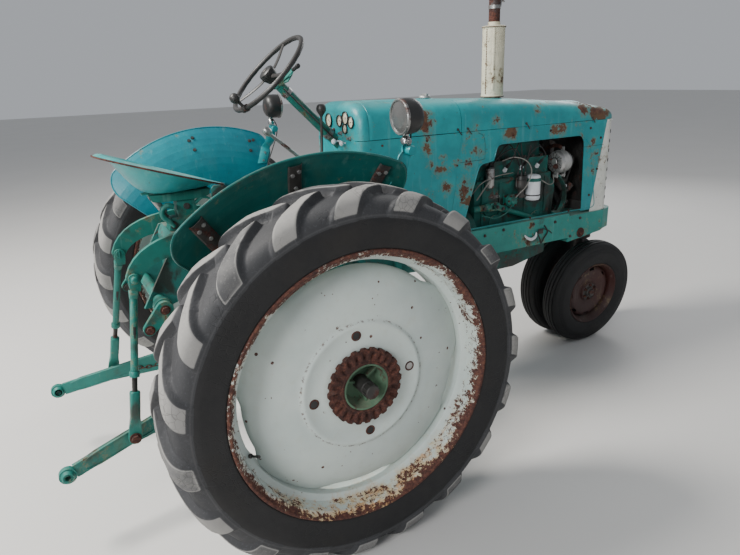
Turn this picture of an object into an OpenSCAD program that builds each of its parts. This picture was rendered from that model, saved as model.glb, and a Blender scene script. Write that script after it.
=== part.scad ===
// Row-crop tractor with a twin-wheel narrow front and a rear lift linkage.
// X points forward, Y to the left, Z up. Every module draws from the point on
// the ground under the rear axle, and placed() moves it to the part's origin.

/* [Stance] */
// Distance from the rear axle to the steering axis
wheelbase = 2163; // [2000:10:2400]
// How far the rear axle lies behind the part's origin
rear_setback = 740; // [600:5:900]
// Distance between the centres of the rear tyres
rear_tread = 1874; // [1840:2:2000]

/* [Rear wheels] */
// Radius of the rear tyre over its lugs
rear_tyre_r = 705; // [690:5:730]
// Width of the rear tyre at its sidewalls
rear_tyre_w = 285; // [270:5:300]
// Height of a lug over the tread
lug_h = 34; // [20:1:40]
// Number of lugs on each side of a rear tyre
lug_count = 19; // [16:1:24]
// Thickness of a lug along the tread
lug_t = 54; // [30:1:60]
// Radius of the rear rim at its flange
rear_rim_r = 508; // [480:2:520]
// Width of the rear rim over its flanges
rear_rim_w = 276; // [240:2:290]
// Thickness of the rear rim's steel
rim_t = 6; // [4:1:10]
// Depth of the four flats in the rear disc's edge
disc_flat_cut = 22; // [10:1:30]
// Depth of the rear disc's dish
disc_dish = 66; // [40:2:80]
// Thickness of the rear disc
disc_t = 8; // [5:1:12]
// Radius of the circle that carries the disc's four holes
disc_hole_pcd_r = 195; // [180:5:215]
// Radius of a hole in the rear disc
disc_hole_r = 12; // [8:1:16]
// Outer radius of the toothed hub ring
ring_r = 145; // [130:5:160]
// Number of notches around the toothed hub ring
ring_teeth = 24; // [16:2:32]
// Radius of the open hub cup
cup_r = 95; // [80:5:110]
// Radius of the axle shaft
axle_r = 28; // [22:1:34]
// How far the axle shaft stands out past the hub ring
axle_out = 46; // [20:2:80]

/* [Front wheels] */
// Radius of the front tyre
front_tyre_r = 346; // [330:2:360]
// Width of the front tyre
front_tyre_w = 144; // [130:2:150]
// Half the distance between the front tyres' centres at the ground
front_half_track = 80; // [78:1:100]
// How far the front wheels lean outward at the top
camber = 4.3; // [3:0.1:6]
// Radius of the front rim at its flange
front_rim_r = 205; // [195:1:215]
// Radius of the front stub axle
stub_r = 20; // [16:1:24]
// Radius of the steering spindle
spindle_r = 38; // [30:1:44]

/* [Hood] */
// Half the width of the hood over its side sheets
hood_half_w = 239; // [220:1:255]
// Where the instrument end of the hood stands
hood_rear_x = 430; // [400:5:480]
// Where the front face of the grille stands
grille_x = 2150; // [2100:5:2200]
// Height of the seam between the hood and the side sheets
seam_z = 1462; // [1440:2:1480]
// Height of the hood's crest at its rear end
crest_rear_z = 1634; // [1600:2:1660]
// Height of the hood's crest where the nose starts
crest_front_z = 1572; // [1550:2:1590]
// Radius of the hood's long edges and of its nose
hood_edge_r = 80; // [60:2:95]
// Thickness of the hood's and the side sheets' steel
sheet_t = 3; // [2:0.5:5]
// Gap along the seams between sheets
seam_gap = 0.8; // [0.3:0.1:0.9]
// Number of slots in each half of the grille
slot_count = 8; // [5:1:9]
// Height of a grille slot
slot_h = 24; // [16:1:30]

/* [Frame] */
// Height of the top of the frame rails
rail_top_z = 941; // [920:1:960]
// Depth of a frame rail
rail_h = 148; // [120:2:170]
// Half the width over the frame rails
rail_half_w = 250; // [240:1:270]
// Height of the bolster's lower edge at its rear end
bolster_low_z = 768; // [750:2:790]
// Height of the bolster's lower edge under the nose
bolster_nose_z = 806; // [795:1:820]
// Width of a rail's flanges
rail_flange = 60; // [40:2:80]
// Thickness of a rail's web and flanges
rail_t = 10; // [6:1:14]

/* [Fenders] */
// Radius of the fender's lip about the rear axle
fender_r = 800; // [780:2:820]
// Where the fender's sheet stands, from the middle of the tractor
fender_in_y = 700; // [680:2:720]
// Where the fender's lip ends, from the middle of the tractor
fender_out_y = 800; // [780:2:820]
// Radius of the bend that leans the sheet out over the tyre
fender_bend_r = 430; // [300:10:440]
// Thickness of the fender's steel
fender_t = 4; // [3:0.5:6]
// Angle of the fender's front edge above the forward direction
fender_front_deg = 61; // [50:1:70]
// Angle of the fender's rear edge above the forward direction
fender_rear_deg = 138; // [125:1:145]
// Radius of the fender's two rounded corners
fender_corner_r = 100; // [40:5:130]
// Radius at which the fender's sheet ends
fender_low_r = 440; // [400:5:450]

/* [Steering and seat] */
// Radius of the steering wheel at the middle of its rim
wheel_r = 212; // [190:2:230]
// Radius of the steering wheel's grip
grip_r = 12; // [9:1:15]
// Distance of the steering wheel's centre ahead of the rear axle
wheel_x = 105; // [80:5:140]
// Height of the steering wheel's centre
wheel_z = 1771; // [1740:5:1800]
// Angle of the steering column above the level
column_deg = 45; // [40:1:50]
// Radius of the steering column's tube
column_r = 24; // [18:1:30]
// Distance of the seat pan's rear edge behind the rear axle
pan_back_x = 674; // [640:2:700]
// Height of the seat pan's rear edge
pan_back_z = 1480; // [1460:2:1500]
// Length of the seat pan
pan_len = 515; // [480:5:540]
// Fall of the pan's edge from rear to front
pan_fall = 170; // [120:5:200]
// Width of the seat pan
pan_w = 470; // [440:5:500]
// Thickness of the seat pan
pan_t = 4; // [3:0.5:6]
// Width of the flat lip around the pan
pan_lip = 34; // [20:2:50]
// Height of the pan's flat floor
pan_floor_z = 1302; // [1295:1:1310]
// Sideways lean of the old seat
seat_lean = 3; // [0:0.5:4]

/* [Lift linkage] */
// Distance of the lift shaft behind the rear axle
lift_x = 230; // [200:5:260]
// Height of the lift shaft
lift_z = 1120; // [1090:5:1140]
// Radius of the lift shaft
lift_r = 30; // [24:1:36]
// Half the distance between the middles of the lift arms
arm_y = 223; // [215:1:240]
// Thickness of a lift arm
arm_t = 26; // [20:1:32]
// Distance of the lift arm's end pin behind the rear axle
arm_pin_x = 619; // [590:1:640]
// Height of the lift arm's end pin
arm_pin_z = 1004; // [980:1:1030]
// Radius of the linkage's pins
pin_r = 11; // [9:1:14]
// Distance of the lower links' hitch balls behind the rear axle
ball_x = 992; // [960:1:1020]
// Half the distance between the hitch balls
ball_y = 390; // [370:1:410]
// Height of the hitch balls
ball_z = 309; // [290:1:330]
// Radius of a hitch ball
ball_r = 28; // [24:1:32]
// Radius of the bore through a hitch ball
ball_bore_r = 11.2; // [11:0.1:14.5]
// Half the distance between the lower links' front pivots
link_front_y = 150; // [130:2:180]
// Height of the lower links' front pivots
link_front_z = 515; // [505:1:530]
// Distance of the lower links' front pivots behind the rear axle
link_front_x = 20; // [0:2:60]
// Depth of a lower link's bar
link_h = 62; // [50:1:76]
// Thickness of a lower link's bar
link_t = 16; // [12:1:22]
// Depth of the web under a lower link's bar
link_web = 42; // [20:2:60]
// Half the distance between the ends of the cross shaft under the lift arms
cross_y = 316; // [308:2:330]

/* [Hidden] */
$fn = 48;
eps = 0.01;
// Radial gap between a turning shaft and its bore
run_fit = 0.05;
// Gap between two pieces that sit on each other
seat_gap = 0.3;
teal = [0.05, 0.66, 0.62];
teal_dark = [0.05, 0.42, 0.38];
iron = [0.22, 0.25, 0.24];
cream = [0.86, 0.85, 0.76];
rust = [0.45, 0.22, 0.12];
rubber = [0.12, 0.12, 0.12];

rear_y = rear_tread / 2;
// Height of the rear axle, which is the lugged tyre's radius
rear_z = rear_tyre_r;
hub_face_y = rear_y + 105;
disc_face_y = hub_face_y - 20;
tube_end_y = 752;
tube_flange_y = 690;
tube_flange_r = 112;

// Radius of a polygon's corners when its flats lie at radius r
function flats(r, n) = r / cos(180 / n);
// Points on an arc about [cx, cy] from angle a0 to a1
function arc(cx, cy, r, a0, a1, n = 6) =
    [for (i = [0 : n]) [cx + r * cos(a0 + (a1 - a0) * i / n), cy + r * sin(a0 + (a1 - a0) * i / n)]];

module placed() translate([-rear_setback, 0, 0]) children();
module left_side() mirror([0, 1, 0]) children();
// A bar of round section from point a to point b
module rod(a, b, r) {
    d = b - a;
    len = norm(d);
    translate(a) rotate([0, acos(d[2] / len), atan2(d[1], d[0])]) cylinder(r = r, h = len);
}
// A cylinder along Y from y0 to y1
module y_bar(x, z, r, y0, y1) translate([x, y0, z]) rotate([-90, 0, 0]) cylinder(r = r, h = y1 - y0);
// A ring along Y about point c, with outer radius r, bore radius r0 and half length h
module y_tube(c, r, r0, h) translate(c) rotate([90, 0, 0])
    rotate_extrude() polygon([[r0, -h], [r, -h], [r, h], [r0, h]]);
// A cylinder along X from x0 to x1
module x_bar(y, z, r, x0, x1) translate([x0, y, z]) rotate([0, 90, 0]) cylinder(r = r, h = x1 - x0);
// A flat plate whose outline lies in X and Z, from y0 to y1
module xz_plate(y0, y1) translate([0, y1, 0]) rotate([90, 0, 0]) linear_extrude(y1 - y0) children();

// Power train

// Places of the two levers on top of the housing
gear_x = 290;
gear_y = -60;
post_x = 375;
post_y = 112;
// Half widths of the wide axle part of the housing and of the narrow gearbox before it
housing_half_w = 205;
gearbox_half_w = 120;
module rear_housing() color(teal_dark) difference() {
    union() {
        xz_plate(-housing_half_w, housing_half_w) polygon([[330, 570], [330, 930], [120, 960], [-120, 960],
            [-250, 900], [-250, 620], [-150, 570]]);
        x_bar(0, 740, 180, 300, 420);
        xz_plate(-gearbox_half_w, gearbox_half_w) polygon([[300, 600], [700, 600], [700, 900], [300, 930]]);
        // Flange that bolts to the clutch housing
        x_bar(0, 790, 150, 672, 700);
        // Cap over the power shaft
        x_bar(0, 700, 52, -262, -249);
        x_bar(0, 700, 40, -292, -249);
        // Tower of the gear lever and post of the lift lever
        translate([gear_x, gear_y, 900]) cylinder(r1 = 48, r2 = 30, h = 90);
        translate([post_x, post_y, 880]) cylinder(r = 20, h = 70);
    }
    y_bar(0, rear_z, 40, -housing_half_w - 1, housing_half_w + 1);
}

module axle_tube() difference() {
    union() {
        y_bar(0, rear_z, 125, -housing_half_w - 23, -housing_half_w - seat_gap);
        y_bar(0, rear_z, 88, -700, -housing_half_w - seat_gap);
        y_bar(0, rear_z, tube_flange_r, -tube_end_y, -tube_flange_y);
        for (a = [90, 210, 330]) translate([0, 0, rear_z]) rotate([0, a, 0])
            translate([0, -tube_flange_y, 0]) cube([tube_flange_r, 480, 16]);
    }
    y_bar(0, rear_z, axle_r + run_fit, -tube_end_y - 1, -600);
}
module axle_tubes() color(teal_dark) {
    axle_tube();
    left_side() axle_tube();
}

bell_x0 = 700;
// The engine keeps its length and its distance from the front axle
bell_x1 = wheelbase - 983;
bell_l = bell_x1 - bell_x0 - seat_gap;
bell_r = 186;
bell_z = 850;
module clutch_housing() color(teal_dark) {
    translate([bell_x0 + seat_gap, 0, bell_z]) rotate([0, 90, 0])
        rotate_extrude() polygon([[0, 0], [140, 0], [150, 60], [156, bell_l - 230], [176, bell_l - 140],
            [bell_r, bell_l - 90], [bell_r, bell_l], [0, bell_l]]);
}

block_x0 = bell_x1 + seat_gap;
block_x1 = wheelbase - 423;
block_half_w = 140;
block_top_z = 1180;
block_low_z = 760;
sump_half_w = 120;
sump_low_z = 640;
timing_cover_t = 45;
module engine_block() color(teal_dark) {
    xz_plate(-block_half_w, block_half_w)
        polygon([[block_x0, block_low_z], [block_x0, block_top_z], [block_x1, block_top_z], [block_x1, block_low_z]]);
    // Oil sump, deeper at the rear
    xz_plate(-sump_half_w, sump_half_w)
        polygon([[block_x0, sump_low_z], [block_x0, block_low_z + 1], [block_x1, block_low_z + 1],
            [block_x1, sump_low_z + 50], [block_x1 - 240, sump_low_z]]);
    // Rib along the foot of each side
    for (y = [-block_half_w, block_half_w]) x_bar(y, block_low_z + 20, 12, block_x0 + 10, block_x1 - 10);
    // Timing cover on the front of the block
    translate([block_x1, 0, 0]) rotate([90, 0, 90]) linear_extrude(timing_cover_t) hull() {
        translate([0, 860]) circle(r = 110);
        translate([-60, 1080]) circle(r = 70);
        translate([60, 1080]) circle(r = 70);
    }
}

head_top_z = 1275;
module cylinder_head() color(teal_dark) {
    translate([block_x0 + 20, -block_half_w + 10, block_top_z + seat_gap])
        cube([block_x1 - block_x0 - 40, 2 * block_half_w - 20, head_top_z - block_top_z - seat_gap]);
    translate([block_x0 + 50, 0, head_top_z]) rotate([90, 0, 90])
        linear_extrude(block_x1 - block_x0 - 100) hull() for (s = [-1, 1]) {
            translate([s * 62, 75]) circle(r = 22);
            translate([s * 80, 5 + seat_gap]) circle(r = 5);
        }
}

muffler_x = block_x1 - 340;
// Height at which the exhaust pipe ends in the muffler's neck
muffler_z = 1596;
muffler_neck_r = 34;
manifold_y = -178;
manifold_z = 1252;
manifold_r = 26;
exhaust_r = 23;
port_x = [for (d = [450, 340, 220, 100]) block_x1 - d];
// Exhaust manifold on the left of the head, with a bent pipe up to the muffler
module manifold() color(rust) left_side() {
    elbow = [muffler_x, manifold_y, 1420];
    outlet = [muffler_x, 0, 1500];
    for (x = port_x) y_bar(x, manifold_z, 20, manifold_y, -block_half_w + 10 - seat_gap);
    x_bar(manifold_y, manifold_z, manifold_r, port_x[0] - 20, port_x[3] + 20);
    rod([muffler_x, manifold_y, manifold_z], elbow, exhaust_r);
    rod(elbow, outlet, exhaust_r);
    rod(outlet, [muffler_x, 0, muffler_z], exhaust_r);
    for (bend = [elbow, outlet]) translate(bend) sphere(r = exhaust_r + 4);
}

filter_r = 42;
filter_x = block_x1 - 180;
module oil_filter() color("white") {
    translate([filter_x, -block_half_w - 46, 1052]) {
        cylinder(r = filter_r, h = 128);
        translate([0, 0, 128]) cylinder(r1 = filter_r, r2 = 36, h = 8);
        translate([0, 0, -10]) cylinder(r = 37, h = 10);
    }
    // Base that bolts to the block
    translate([filter_x - 30, -block_half_w - 46, 1150]) cube([60, 46 - seat_gap, 26]);
}

module alternator() color("silver") {
    translate([block_x1 + 5, -160, 1236]) rotate([0, 90, 0]) {
        cylinder(r = 62, h = 36);
        translate([0, 0, 35]) cylinder(r = 66, h = 28);
        translate([0, 0, 62]) cylinder(r = 60, h = 24);
        translate([0, 0, 85]) cylinder(r = 34, h = 18);
    }
    // Bracket on the side of the block
    translate([block_x1 - 30, -180, 1120]) cube([50, 180 - block_half_w - seat_gap, 70]);
}

fan_z = 1150;
fan_x = block_x1 + 140;
fan_blade = [6, 68, 175];
module fan() color(iron) {
    // Pulley, hub and six set blades
    x_bar(0, fan_z, 62, fan_x - 80, fan_x - 56);
    x_bar(0, fan_z, 30, block_x1 + timing_cover_t + seat_gap, fan_x + 16);
    for (a = [0 : 60 : 300]) translate([fan_x, 0, fan_z]) rotate([a, 0, 0])
        translate([0, 0, 10]) rotate([0, 0, 24]) translate([-fan_blade[0] / 2, -fan_blade[1] / 2, 0]) cube(fan_blade);
}

module radiator() color(iron) {
    core_x = wheelbase - 203;
    core_z0 = 985;
    core_z1 = 1375;
    translate([core_x, -195, core_z0]) cube([60, 390, core_z1 - core_z0]);
    // Tanks above and below the core, and the filler neck
    translate([core_x - 10, -205, core_z1 - 1]) cube([80, 410, 56]);
    translate([core_x - 10, -205, bolster_top_z + seat_gap]) cube([80, 410, core_z0 + 1 - bolster_top_z - seat_gap]);
    translate([core_x + 30, 0, core_z1 + 50]) cylinder(r = 34, h = 42);
    // Hose stubs
    x_bar(60, core_z1 + 20, 22, core_x - 60, core_x);
    x_bar(-60, core_z0 - 20, 22, core_x - 60, core_x);
}

// Ignition distributor on the side of the block: base, body and cap with its towers
distributor_x = block_x1 - 262;
module distributor() color(iron) translate([distributor_x, -block_half_w - 40, 1066]) {
    translate([0, 0, 0]) cylinder(r = 17, h = 60);
    translate([0, 0, 59]) cylinder(r = 32, h = 46);
    translate([0, 0, 104]) cylinder(r1 = 32, r2 = 26, h = 22);
    for (a = [45 : 90 : 315]) rotate([0, 0, a]) translate([17, 0, 125]) cylinder(r = 6, h = 16);
    translate([0, 0, 125]) cylinder(r = 6, h = 18);
    // Foot that bolts to the block
    translate([-20, -10, 0]) cube([40, 50 - seat_gap, 20]);
}

pump_x = block_x1 - 322;
pump_z = 1056;
pump_r = 36;
module fuel_pump() color(teal) {
    y_bar(pump_x, pump_z, 24, -block_half_w - 26, -block_half_w - seat_gap);
    y_bar(pump_x, pump_z, pump_r, -block_half_w - 48, -block_half_w - 25);
    y_bar(pump_x, pump_z, 22, -block_half_w - 62, -block_half_w - 47);
    for (a = [0 : 60 : 300])
        y_bar(pump_x + (pump_r - 8) * cos(a), pump_z + (pump_r - 8) * sin(a), 4.5, -block_half_w - 53, -block_half_w - 47);
}

// Frame

rail_x0 = bell_x1 - 140;
rail_x1 = wheelbase - 363;
module frame_rail() {
    translate([rail_x0, -rail_half_w, rail_top_z - rail_h]) cube([rail_x1 - rail_x0, rail_t, rail_h]);
    for (z = [rail_top_z - rail_h, rail_top_z - rail_t])
        translate([rail_x0, -rail_half_w, z]) cube([rail_x1 - rail_x0, rail_flange, rail_t]);
    // Pads that reach in to the clutch housing and the engine
    translate([bell_x1 - 85, -rail_half_w + rail_t - eps, bell_z - 20])
        cube([80, rail_half_w - rail_t - bell_r - seat_gap + eps, 40]);
}
module frame_rails() color(teal) {
    frame_rail();
    left_side() frame_rail();
}

bolster_top_z = rail_top_z - 15;
pedestal_z0 = 722;
module front_bolster() color(teal) difference() {
    nose_x = wheelbase - 78;
    union() {
        // Block between the rails' ends, lower at the rear
        xz_plate(-rail_half_w, rail_half_w) polygon([[rail_x1 + seat_gap, bolster_low_z],
            [rail_x1 + seat_gap, bolster_top_z], [nose_x, bolster_top_z], [nose_x, bolster_nose_z],
            [nose_x - 12, bolster_nose_z - 6]]);
        // Rounded nose that the grille stands on
        translate([0, 0, bolster_nose_z]) linear_extrude(bolster_top_z - bolster_nose_z) hull() {
            translate([nose_x - 20, -rail_half_w]) square([10, 2 * rail_half_w]);
            for (s = [-1, 1]) translate([wheelbase - 18, s * (rail_half_w - 90)]) circle(r = 60);
        }
        translate([wheelbase, 0, pedestal_z0]) cylinder(r1 = 84, r2 = 96, h = 90);
    }
    translate([wheelbase, 0, pedestal_z0 - 1]) cylinder(r = spindle_r + run_fit, h = 160);
}

// Hood and sheets

// Table of the hood's sections: place along the hood, height of the crest
hood_sections = [[hood_rear_x, crest_rear_z], [1200, crest_rear_z - 22], [1900, crest_front_z]];
module hood_solid(inset) hull() {
    for (s = hood_sections) translate([s[0], 0, 0]) rotate([90, 0, 90]) linear_extrude(1) hull()
        for (side = [-1, 1]) {
            translate([side * (hood_half_w - hood_edge_r), s[1] - hood_edge_r]) circle(r = hood_edge_r - inset);
            translate([side * (hood_half_w - inset) - 0.5, 1380]) square([1, 1]);
        }
    for (side = [-1, 1]) translate([grille_x - hood_edge_r, side * (hood_half_w - hood_edge_r), 0]) {
        translate([0, 0, 1535 - hood_edge_r]) sphere(r = hood_edge_r - inset);
        translate([0, 0, 1380]) cylinder(r = hood_edge_r - inset, h = 1);
    }
}
module hood_shell(x0, x1) intersection() {
    difference() {
        hood_solid(0);
        hood_solid(sheet_t);
    }
    translate([x0, -400, seam_z]) cube([x1 - x0, 800, 400]);
}

cowl_x1 = 1012;
// Foot of the slanted seam between cowl and side sheet
cowl_low_x = 940;
module hood() color(teal) difference() {
    hood_shell(cowl_x1 + seam_gap, grille_x + 10);
    translate([muffler_x, 0, 1500]) cylinder(r = muffler_neck_r + seat_gap, h = 200);
}

dash_low_z = 1180;
cap_x = 950;
tank_z = 1180;
tank = [340, 380, 330];
module fuel_tank() color(iron) {
    // Long edges are rounded as on a pressed tank
    translate([640, 0, tank_z + tank[2] / 2]) rotate([90, 0, 90]) linear_extrude(tank[0])
        offset(r = 40) square([tank[1] - 80, tank[2] - 80], center = true);
    // Cradle down to the clutch housing
    cradle_z = bell_z + 156;
    translate([bell_x0 + 20, -60, cradle_z]) cube([bell_l - 280, 120, tank_z + 1 - cradle_z]);
}
module cowl() color(teal) {
    hood_shell(hood_rear_x, cowl_x1);
    for (s = [-1, 1]) translate([0, s * (hood_half_w - sheet_t / 2), 0])
        xz_plate(-sheet_t / 2, sheet_t / 2)
            polygon([[hood_rear_x, seam_z + 2], [cowl_x1, seam_z + 2], [cowl_low_x, 960], [620, 960],
                [hood_rear_x, dash_low_z]]);
    // Filler cap of the fuel tank
    translate([cap_x, 0, crest_rear_z - 14]) cylinder(r = 30, h = 18);
    translate([cap_x, 0, crest_rear_z]) cylinder(r = 40, h = 14);
    // Instrument panel that closes the rear end
    difference() {
        translate([hood_rear_x, 0, 0]) rotate([90, 0, 90]) linear_extrude(5) hull() {
            for (s = [-1, 1]) translate([s * (hood_half_w - hood_edge_r), crest_rear_z - hood_edge_r])
                circle(r = hood_edge_r - sheet_t / 2);
            translate([-hood_half_w + sheet_t / 2, dash_low_z]) square([2 * hood_half_w - sheet_t, 1]);
        }
        translate([wheel_x, 0, wheel_z]) rotate([0, 90 + column_deg, 0])
            cylinder(r = column_r + seat_gap, h = 700);
    }
}

// Where the side sheet meets the grille shell, top and bottom
grille_back_top_x = grille_x - 86;
grille_back_low_x = grille_x - 173;
// Outline of the window in a side sheet, in X and Z
module window_outline() offset(r = 36) offset(r = -36)
    polygon(concat([[1018, 930], [1133, 1292], [1228, 1300], [1246, 1384]], arc(grille_back_low_x - 147, 1328, 58, 90, 0),
        [[grille_back_low_x - 71, 930]]));
module side_panel() difference() {
    xz_plate(-hood_half_w, -hood_half_w + sheet_t)
        polygon([[cowl_x1 + seam_gap, seam_z - seam_gap], [grille_back_top_x - seam_gap, seam_z - seam_gap],
            [grille_back_low_x - seam_gap, rail_top_z + seat_gap], [cowl_low_x + seam_gap, rail_top_z + seat_gap]]);
    xz_plate(-hood_half_w - 1, -hood_half_w + sheet_t + 1) window_outline();
}
module side_panel_right() color(teal) side_panel();
module side_panel_left() color(teal) left_side() side_panel();

grille_z0 = bolster_top_z + seat_gap;
module grille_outline(inset) hull() {
    for (s = [-1, 1]) translate([grille_x - hood_edge_r, s * (hood_half_w - hood_edge_r)]) circle(r = hood_edge_r - inset);
    translate([1900, -hood_half_w + inset]) square([1, 2 * (hood_half_w - inset)]);
}
module grille() color(cream) difference() {
    translate([0, 0, grille_z0]) linear_extrude(seam_z - seam_gap - grille_z0) difference() {
        grille_outline(0);
        grille_outline(sheet_t);
    }
    // Slanted rear edge that meets the side sheets
    xz_plate(-400, 400) polygon([[1800, 800], [grille_back_low_x, 800],
        [grille_back_low_x, grille_z0], [grille_back_top_x, seam_z], [grille_back_top_x, 1500], [1800, 1500]]);
    // Stack of slots on each side of the middle rib
    for (i = [0 : slot_count - 1], s = [-1, 1]) translate([0, 0, grille_z0 + 55 + i * 56]) {
        translate([grille_x - 70, s > 0 ? 40 : -214, -slot_h / 2]) cube([100, 174, slot_h]);
        for (y = [40, 214]) x_bar(s * y, 0, slot_h / 2, grille_x - 70, grille_x + 30);
    }
}

muffler_r = 60;
muffler_h = 340;
tail_r = 30;
tail_h = 120;
module muffler() color(cream) translate([muffler_x, 0, muffler_z]) {
    can_z = 44;
    tail_z = can_z + muffler_h + 10;
    // Neck, cone, can and outlet pipe as one turned shape
    rotate_extrude() polygon([[0, seat_gap], [muffler_neck_r, seat_gap], [muffler_neck_r, can_z - 15], [muffler_r, can_z],
        [muffler_r + 2, can_z], [muffler_r + 2, can_z + 8], [muffler_r, can_z + 9], [muffler_r, can_z + muffler_h - 9],
        [muffler_r + 2, can_z + muffler_h - 8], [muffler_r + 2, can_z + muffler_h], [tail_r, tail_z],
        [tail_r, tail_z + tail_h - 1], [0, tail_z + tail_h - 1]]);
    // Rain cap that lies on the pipe's end
    translate([0, 0, tail_z + tail_h - 1]) rotate([0, -12, 0]) cylinder(r = tail_r + 6, h = 5);
}

// Steering

column_dir = [cos(column_deg), 0, -sin(column_deg)];
wheel_c = [wheel_x, 0, wheel_z];
module along_column(t) translate(wheel_c + t * column_dir) rotate([0, 90 + column_deg, 0]) children();
module steering_column() color(teal) difference() {
    union() {
        along_column(62) cylinder(r = column_r, h = 560);
        // Throttle quadrant, a toothed sector
        along_column(70) difference() {
            cylinder(r = 95, h = 6);
            translate([-100, -100, -1]) cube([70, 200, 8]);
        }
        // Throttle lever that leans on the quadrant
        along_column(66) rotate([0, 0, 62]) translate([20, -9, 0]) cube([118, 18, 6]);
        along_column(48) rotate([0, 0, 62]) translate([134, 0, 0]) cylinder(r = 12, h = 30);
        // Bracket at the foot
        along_column(560) translate([-40, -40, 0]) cube([80, 80, 62]);
    }
    along_column(0) cylinder(r = 10 + run_fit, h = 200);
}
module steering_wheel() color(rubber) along_column(0) {
    translate([0, 0, 0]) rotate_extrude() translate([wheel_r, 0]) circle(r = grip_r, $fn = 24);
    translate([0, 0, -6]) cylinder(r = 38, h = 34);
    cylinder(r = 10, h = 190);
    for (a = [90, 210, 330]) rotate([0, 0, a]) translate([0, -11, 0]) cube([wheel_r, 22, 9]);
    // Spinner knob
    rotate([0, 0, 200]) translate([wheel_r, 0, -60]) {
        cylinder(r = 8, h = 55);
        sphere(r = 24);
    }
}

module controls() {
    color(iron) {
        rod([gear_x, gear_y, 990 + 3 * seat_gap], [330, gear_y, 1600], 8);
        translate([330, gear_y, 1603]) sphere(r = 23);
    }
    color("silver") {
        rod([post_x, post_y, 950 + seat_gap], [post_x, post_y, 1297], 9);
        rod([post_x, post_y, 1297], [116, 120, 1512], 9);
        translate([post_x, post_y, 1297]) sphere(r = 11);
        translate([116, 120, 1512]) sphere(r = 22);
    }
}

// Pedals on their cross shaft, and the boards for the feet
pedal_x = 470;
pedal_z = 700;
pedal_y = 190;
// Arm, shaft and pad
pedal_arm_t = 14;
pedal_boss_r = 26;
pedal_shaft_r = 14;
pedal_pad = [72, 84, 10];
pad_at = [pedal_x - 88, pedal_z + 300];
pad_out_y = 22;
pad_tilt = 27;
// Footboards with the brackets that hold them off the clutch housing
board_x = 250;
board_z = 612;
board_l = 290;
board_t = 8;
board_out_y = 400;
board_bracket_x = 300;
board_bracket = [12, 20, 53];
module foot_controls() color(teal_dark) {
    along = [cos(pad_tilt), sin(pad_tilt)];
    up = [-sin(pad_tilt), cos(pad_tilt)];
    arm_top = pad_at + up * pedal_pad[2] * 0.4;
    for (s = [-1, 1]) {
        // Half of the cross shaft, which comes out of the housing's side
        shaft_in = gearbox_half_w + seat_gap;
        shaft_out = pedal_y + pedal_boss_r + pedal_arm_t;
        y_bar(pedal_x, pedal_z, pedal_shaft_r, s > 0 ? shaft_in : -shaft_out, s > 0 ? shaft_out : -shaft_in);
        translate([0, s * pedal_y, 0]) xz_plate(-pedal_arm_t / 2, pedal_arm_t / 2) {
            translate([pedal_x, pedal_z]) circle(r = pedal_boss_r);
            polygon([[pedal_x - 22, pedal_z + 10], [pedal_x - 16, pedal_z + 130], arm_top - along * 12,
                arm_top + along * 12, [pedal_x + 10, pedal_z + 138], [pedal_x + 22, pedal_z + 10]]);
        }
        // Pad under the driver's foot
        translate([pad_at[0], s * (pedal_y + pad_out_y), pad_at[1]]) rotate([0, -pad_tilt, 0])
            translate([-pedal_pad[0] / 2, -pedal_pad[1] / 2, 0]) cube(pedal_pad);
        // Footboard and its bracket
        board_in = housing_half_w + seat_gap;
        translate([board_x, s > 0 ? board_in : -board_out_y, board_z]) cube([board_l, board_out_y - board_in, board_t]);
        translate([board_bracket_x, s > 0 ? board_in : -board_in - board_bracket[1], board_z - board_bracket[2] + 1])
            cube(board_bracket);
    }
}

shaft_y = -168;
shaft_z = 1036;
module steering_shaft() color(teal) {
    joint_x = bell_x1 + 120;
    x_bar(shaft_y, shaft_z, 17, bell_x1 - 30, joint_x);
    // Joint between the level shaft and the slanted one
    x_bar(shaft_y, shaft_z, 24, joint_x - 12, joint_x + 22);
    rod([joint_x, shaft_y, shaft_z], [rail_x1 - 4, shaft_y, 856], 11);
}

// Fenders and lamps

// How far the sheet has turned out at its lip, and where its bend begins
fender_turn = acos(1 - (fender_out_y - fender_in_y) / fender_bend_r);
fender_bend_at = fender_r - fender_bend_r * sin(fender_turn);
// The bend's line in (radius, y), for a given radius of bend
function fender_line(r) = arc(fender_bend_at, fender_in_y + fender_bend_r, r, 270, 270 + fender_turn, 8);
function reversed(v) = [for (i = [len(v) - 1:-1:0]) v[i]];
module fender_section() polygon(concat(
    [[fender_low_r, fender_in_y]], fender_line(fender_bend_r),
    reversed(fender_line(fender_bend_r - fender_t)), [[fender_low_r, fender_in_y + fender_t]]));

// Turns a section in (radius, y) about the rear axle, from the fender's front to its rear edge
module about_axle(spare) translate([0, 0, rear_z]) rotate([90, 0, 0]) mirror([0, 0, 1])
    rotate([0, 0, fender_front_deg - spare])
        rotate_extrude(angle = fender_rear_deg - fender_front_deg + 2 * spare, $fn = 96) children();

function polar(r, a) = [r * cos(a), r * sin(a)];
// Side view of the sheet: straight ends with a rounded corner each, open above the lip
module fender_outline() {
    in = fender_low_r - 30;
    out = fender_r + 30;
    c = fender_r + 3 - fender_corner_r;
    lean = asin(fender_corner_r / c);
    front = polar(c, fender_front_deg + lean);
    rear = polar(c, fender_rear_deg - lean);
    polygon(concat(
        [polar(in, fender_front_deg)],
        arc(front[0], front[1], fender_corner_r, fender_front_deg - 90, fender_front_deg + lean - 8, 8),
        [for (a = [0:8]) polar(out, fender_front_deg + lean + a / 8 * (fender_rear_deg - fender_front_deg - 2 * lean))],
        arc(rear[0], rear[1], fender_corner_r, fender_rear_deg - lean + 8, fender_rear_deg + 90, 8),
        [polar(in, fender_rear_deg), polar(in, (fender_front_deg + fender_rear_deg) / 2)]));
}

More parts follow.
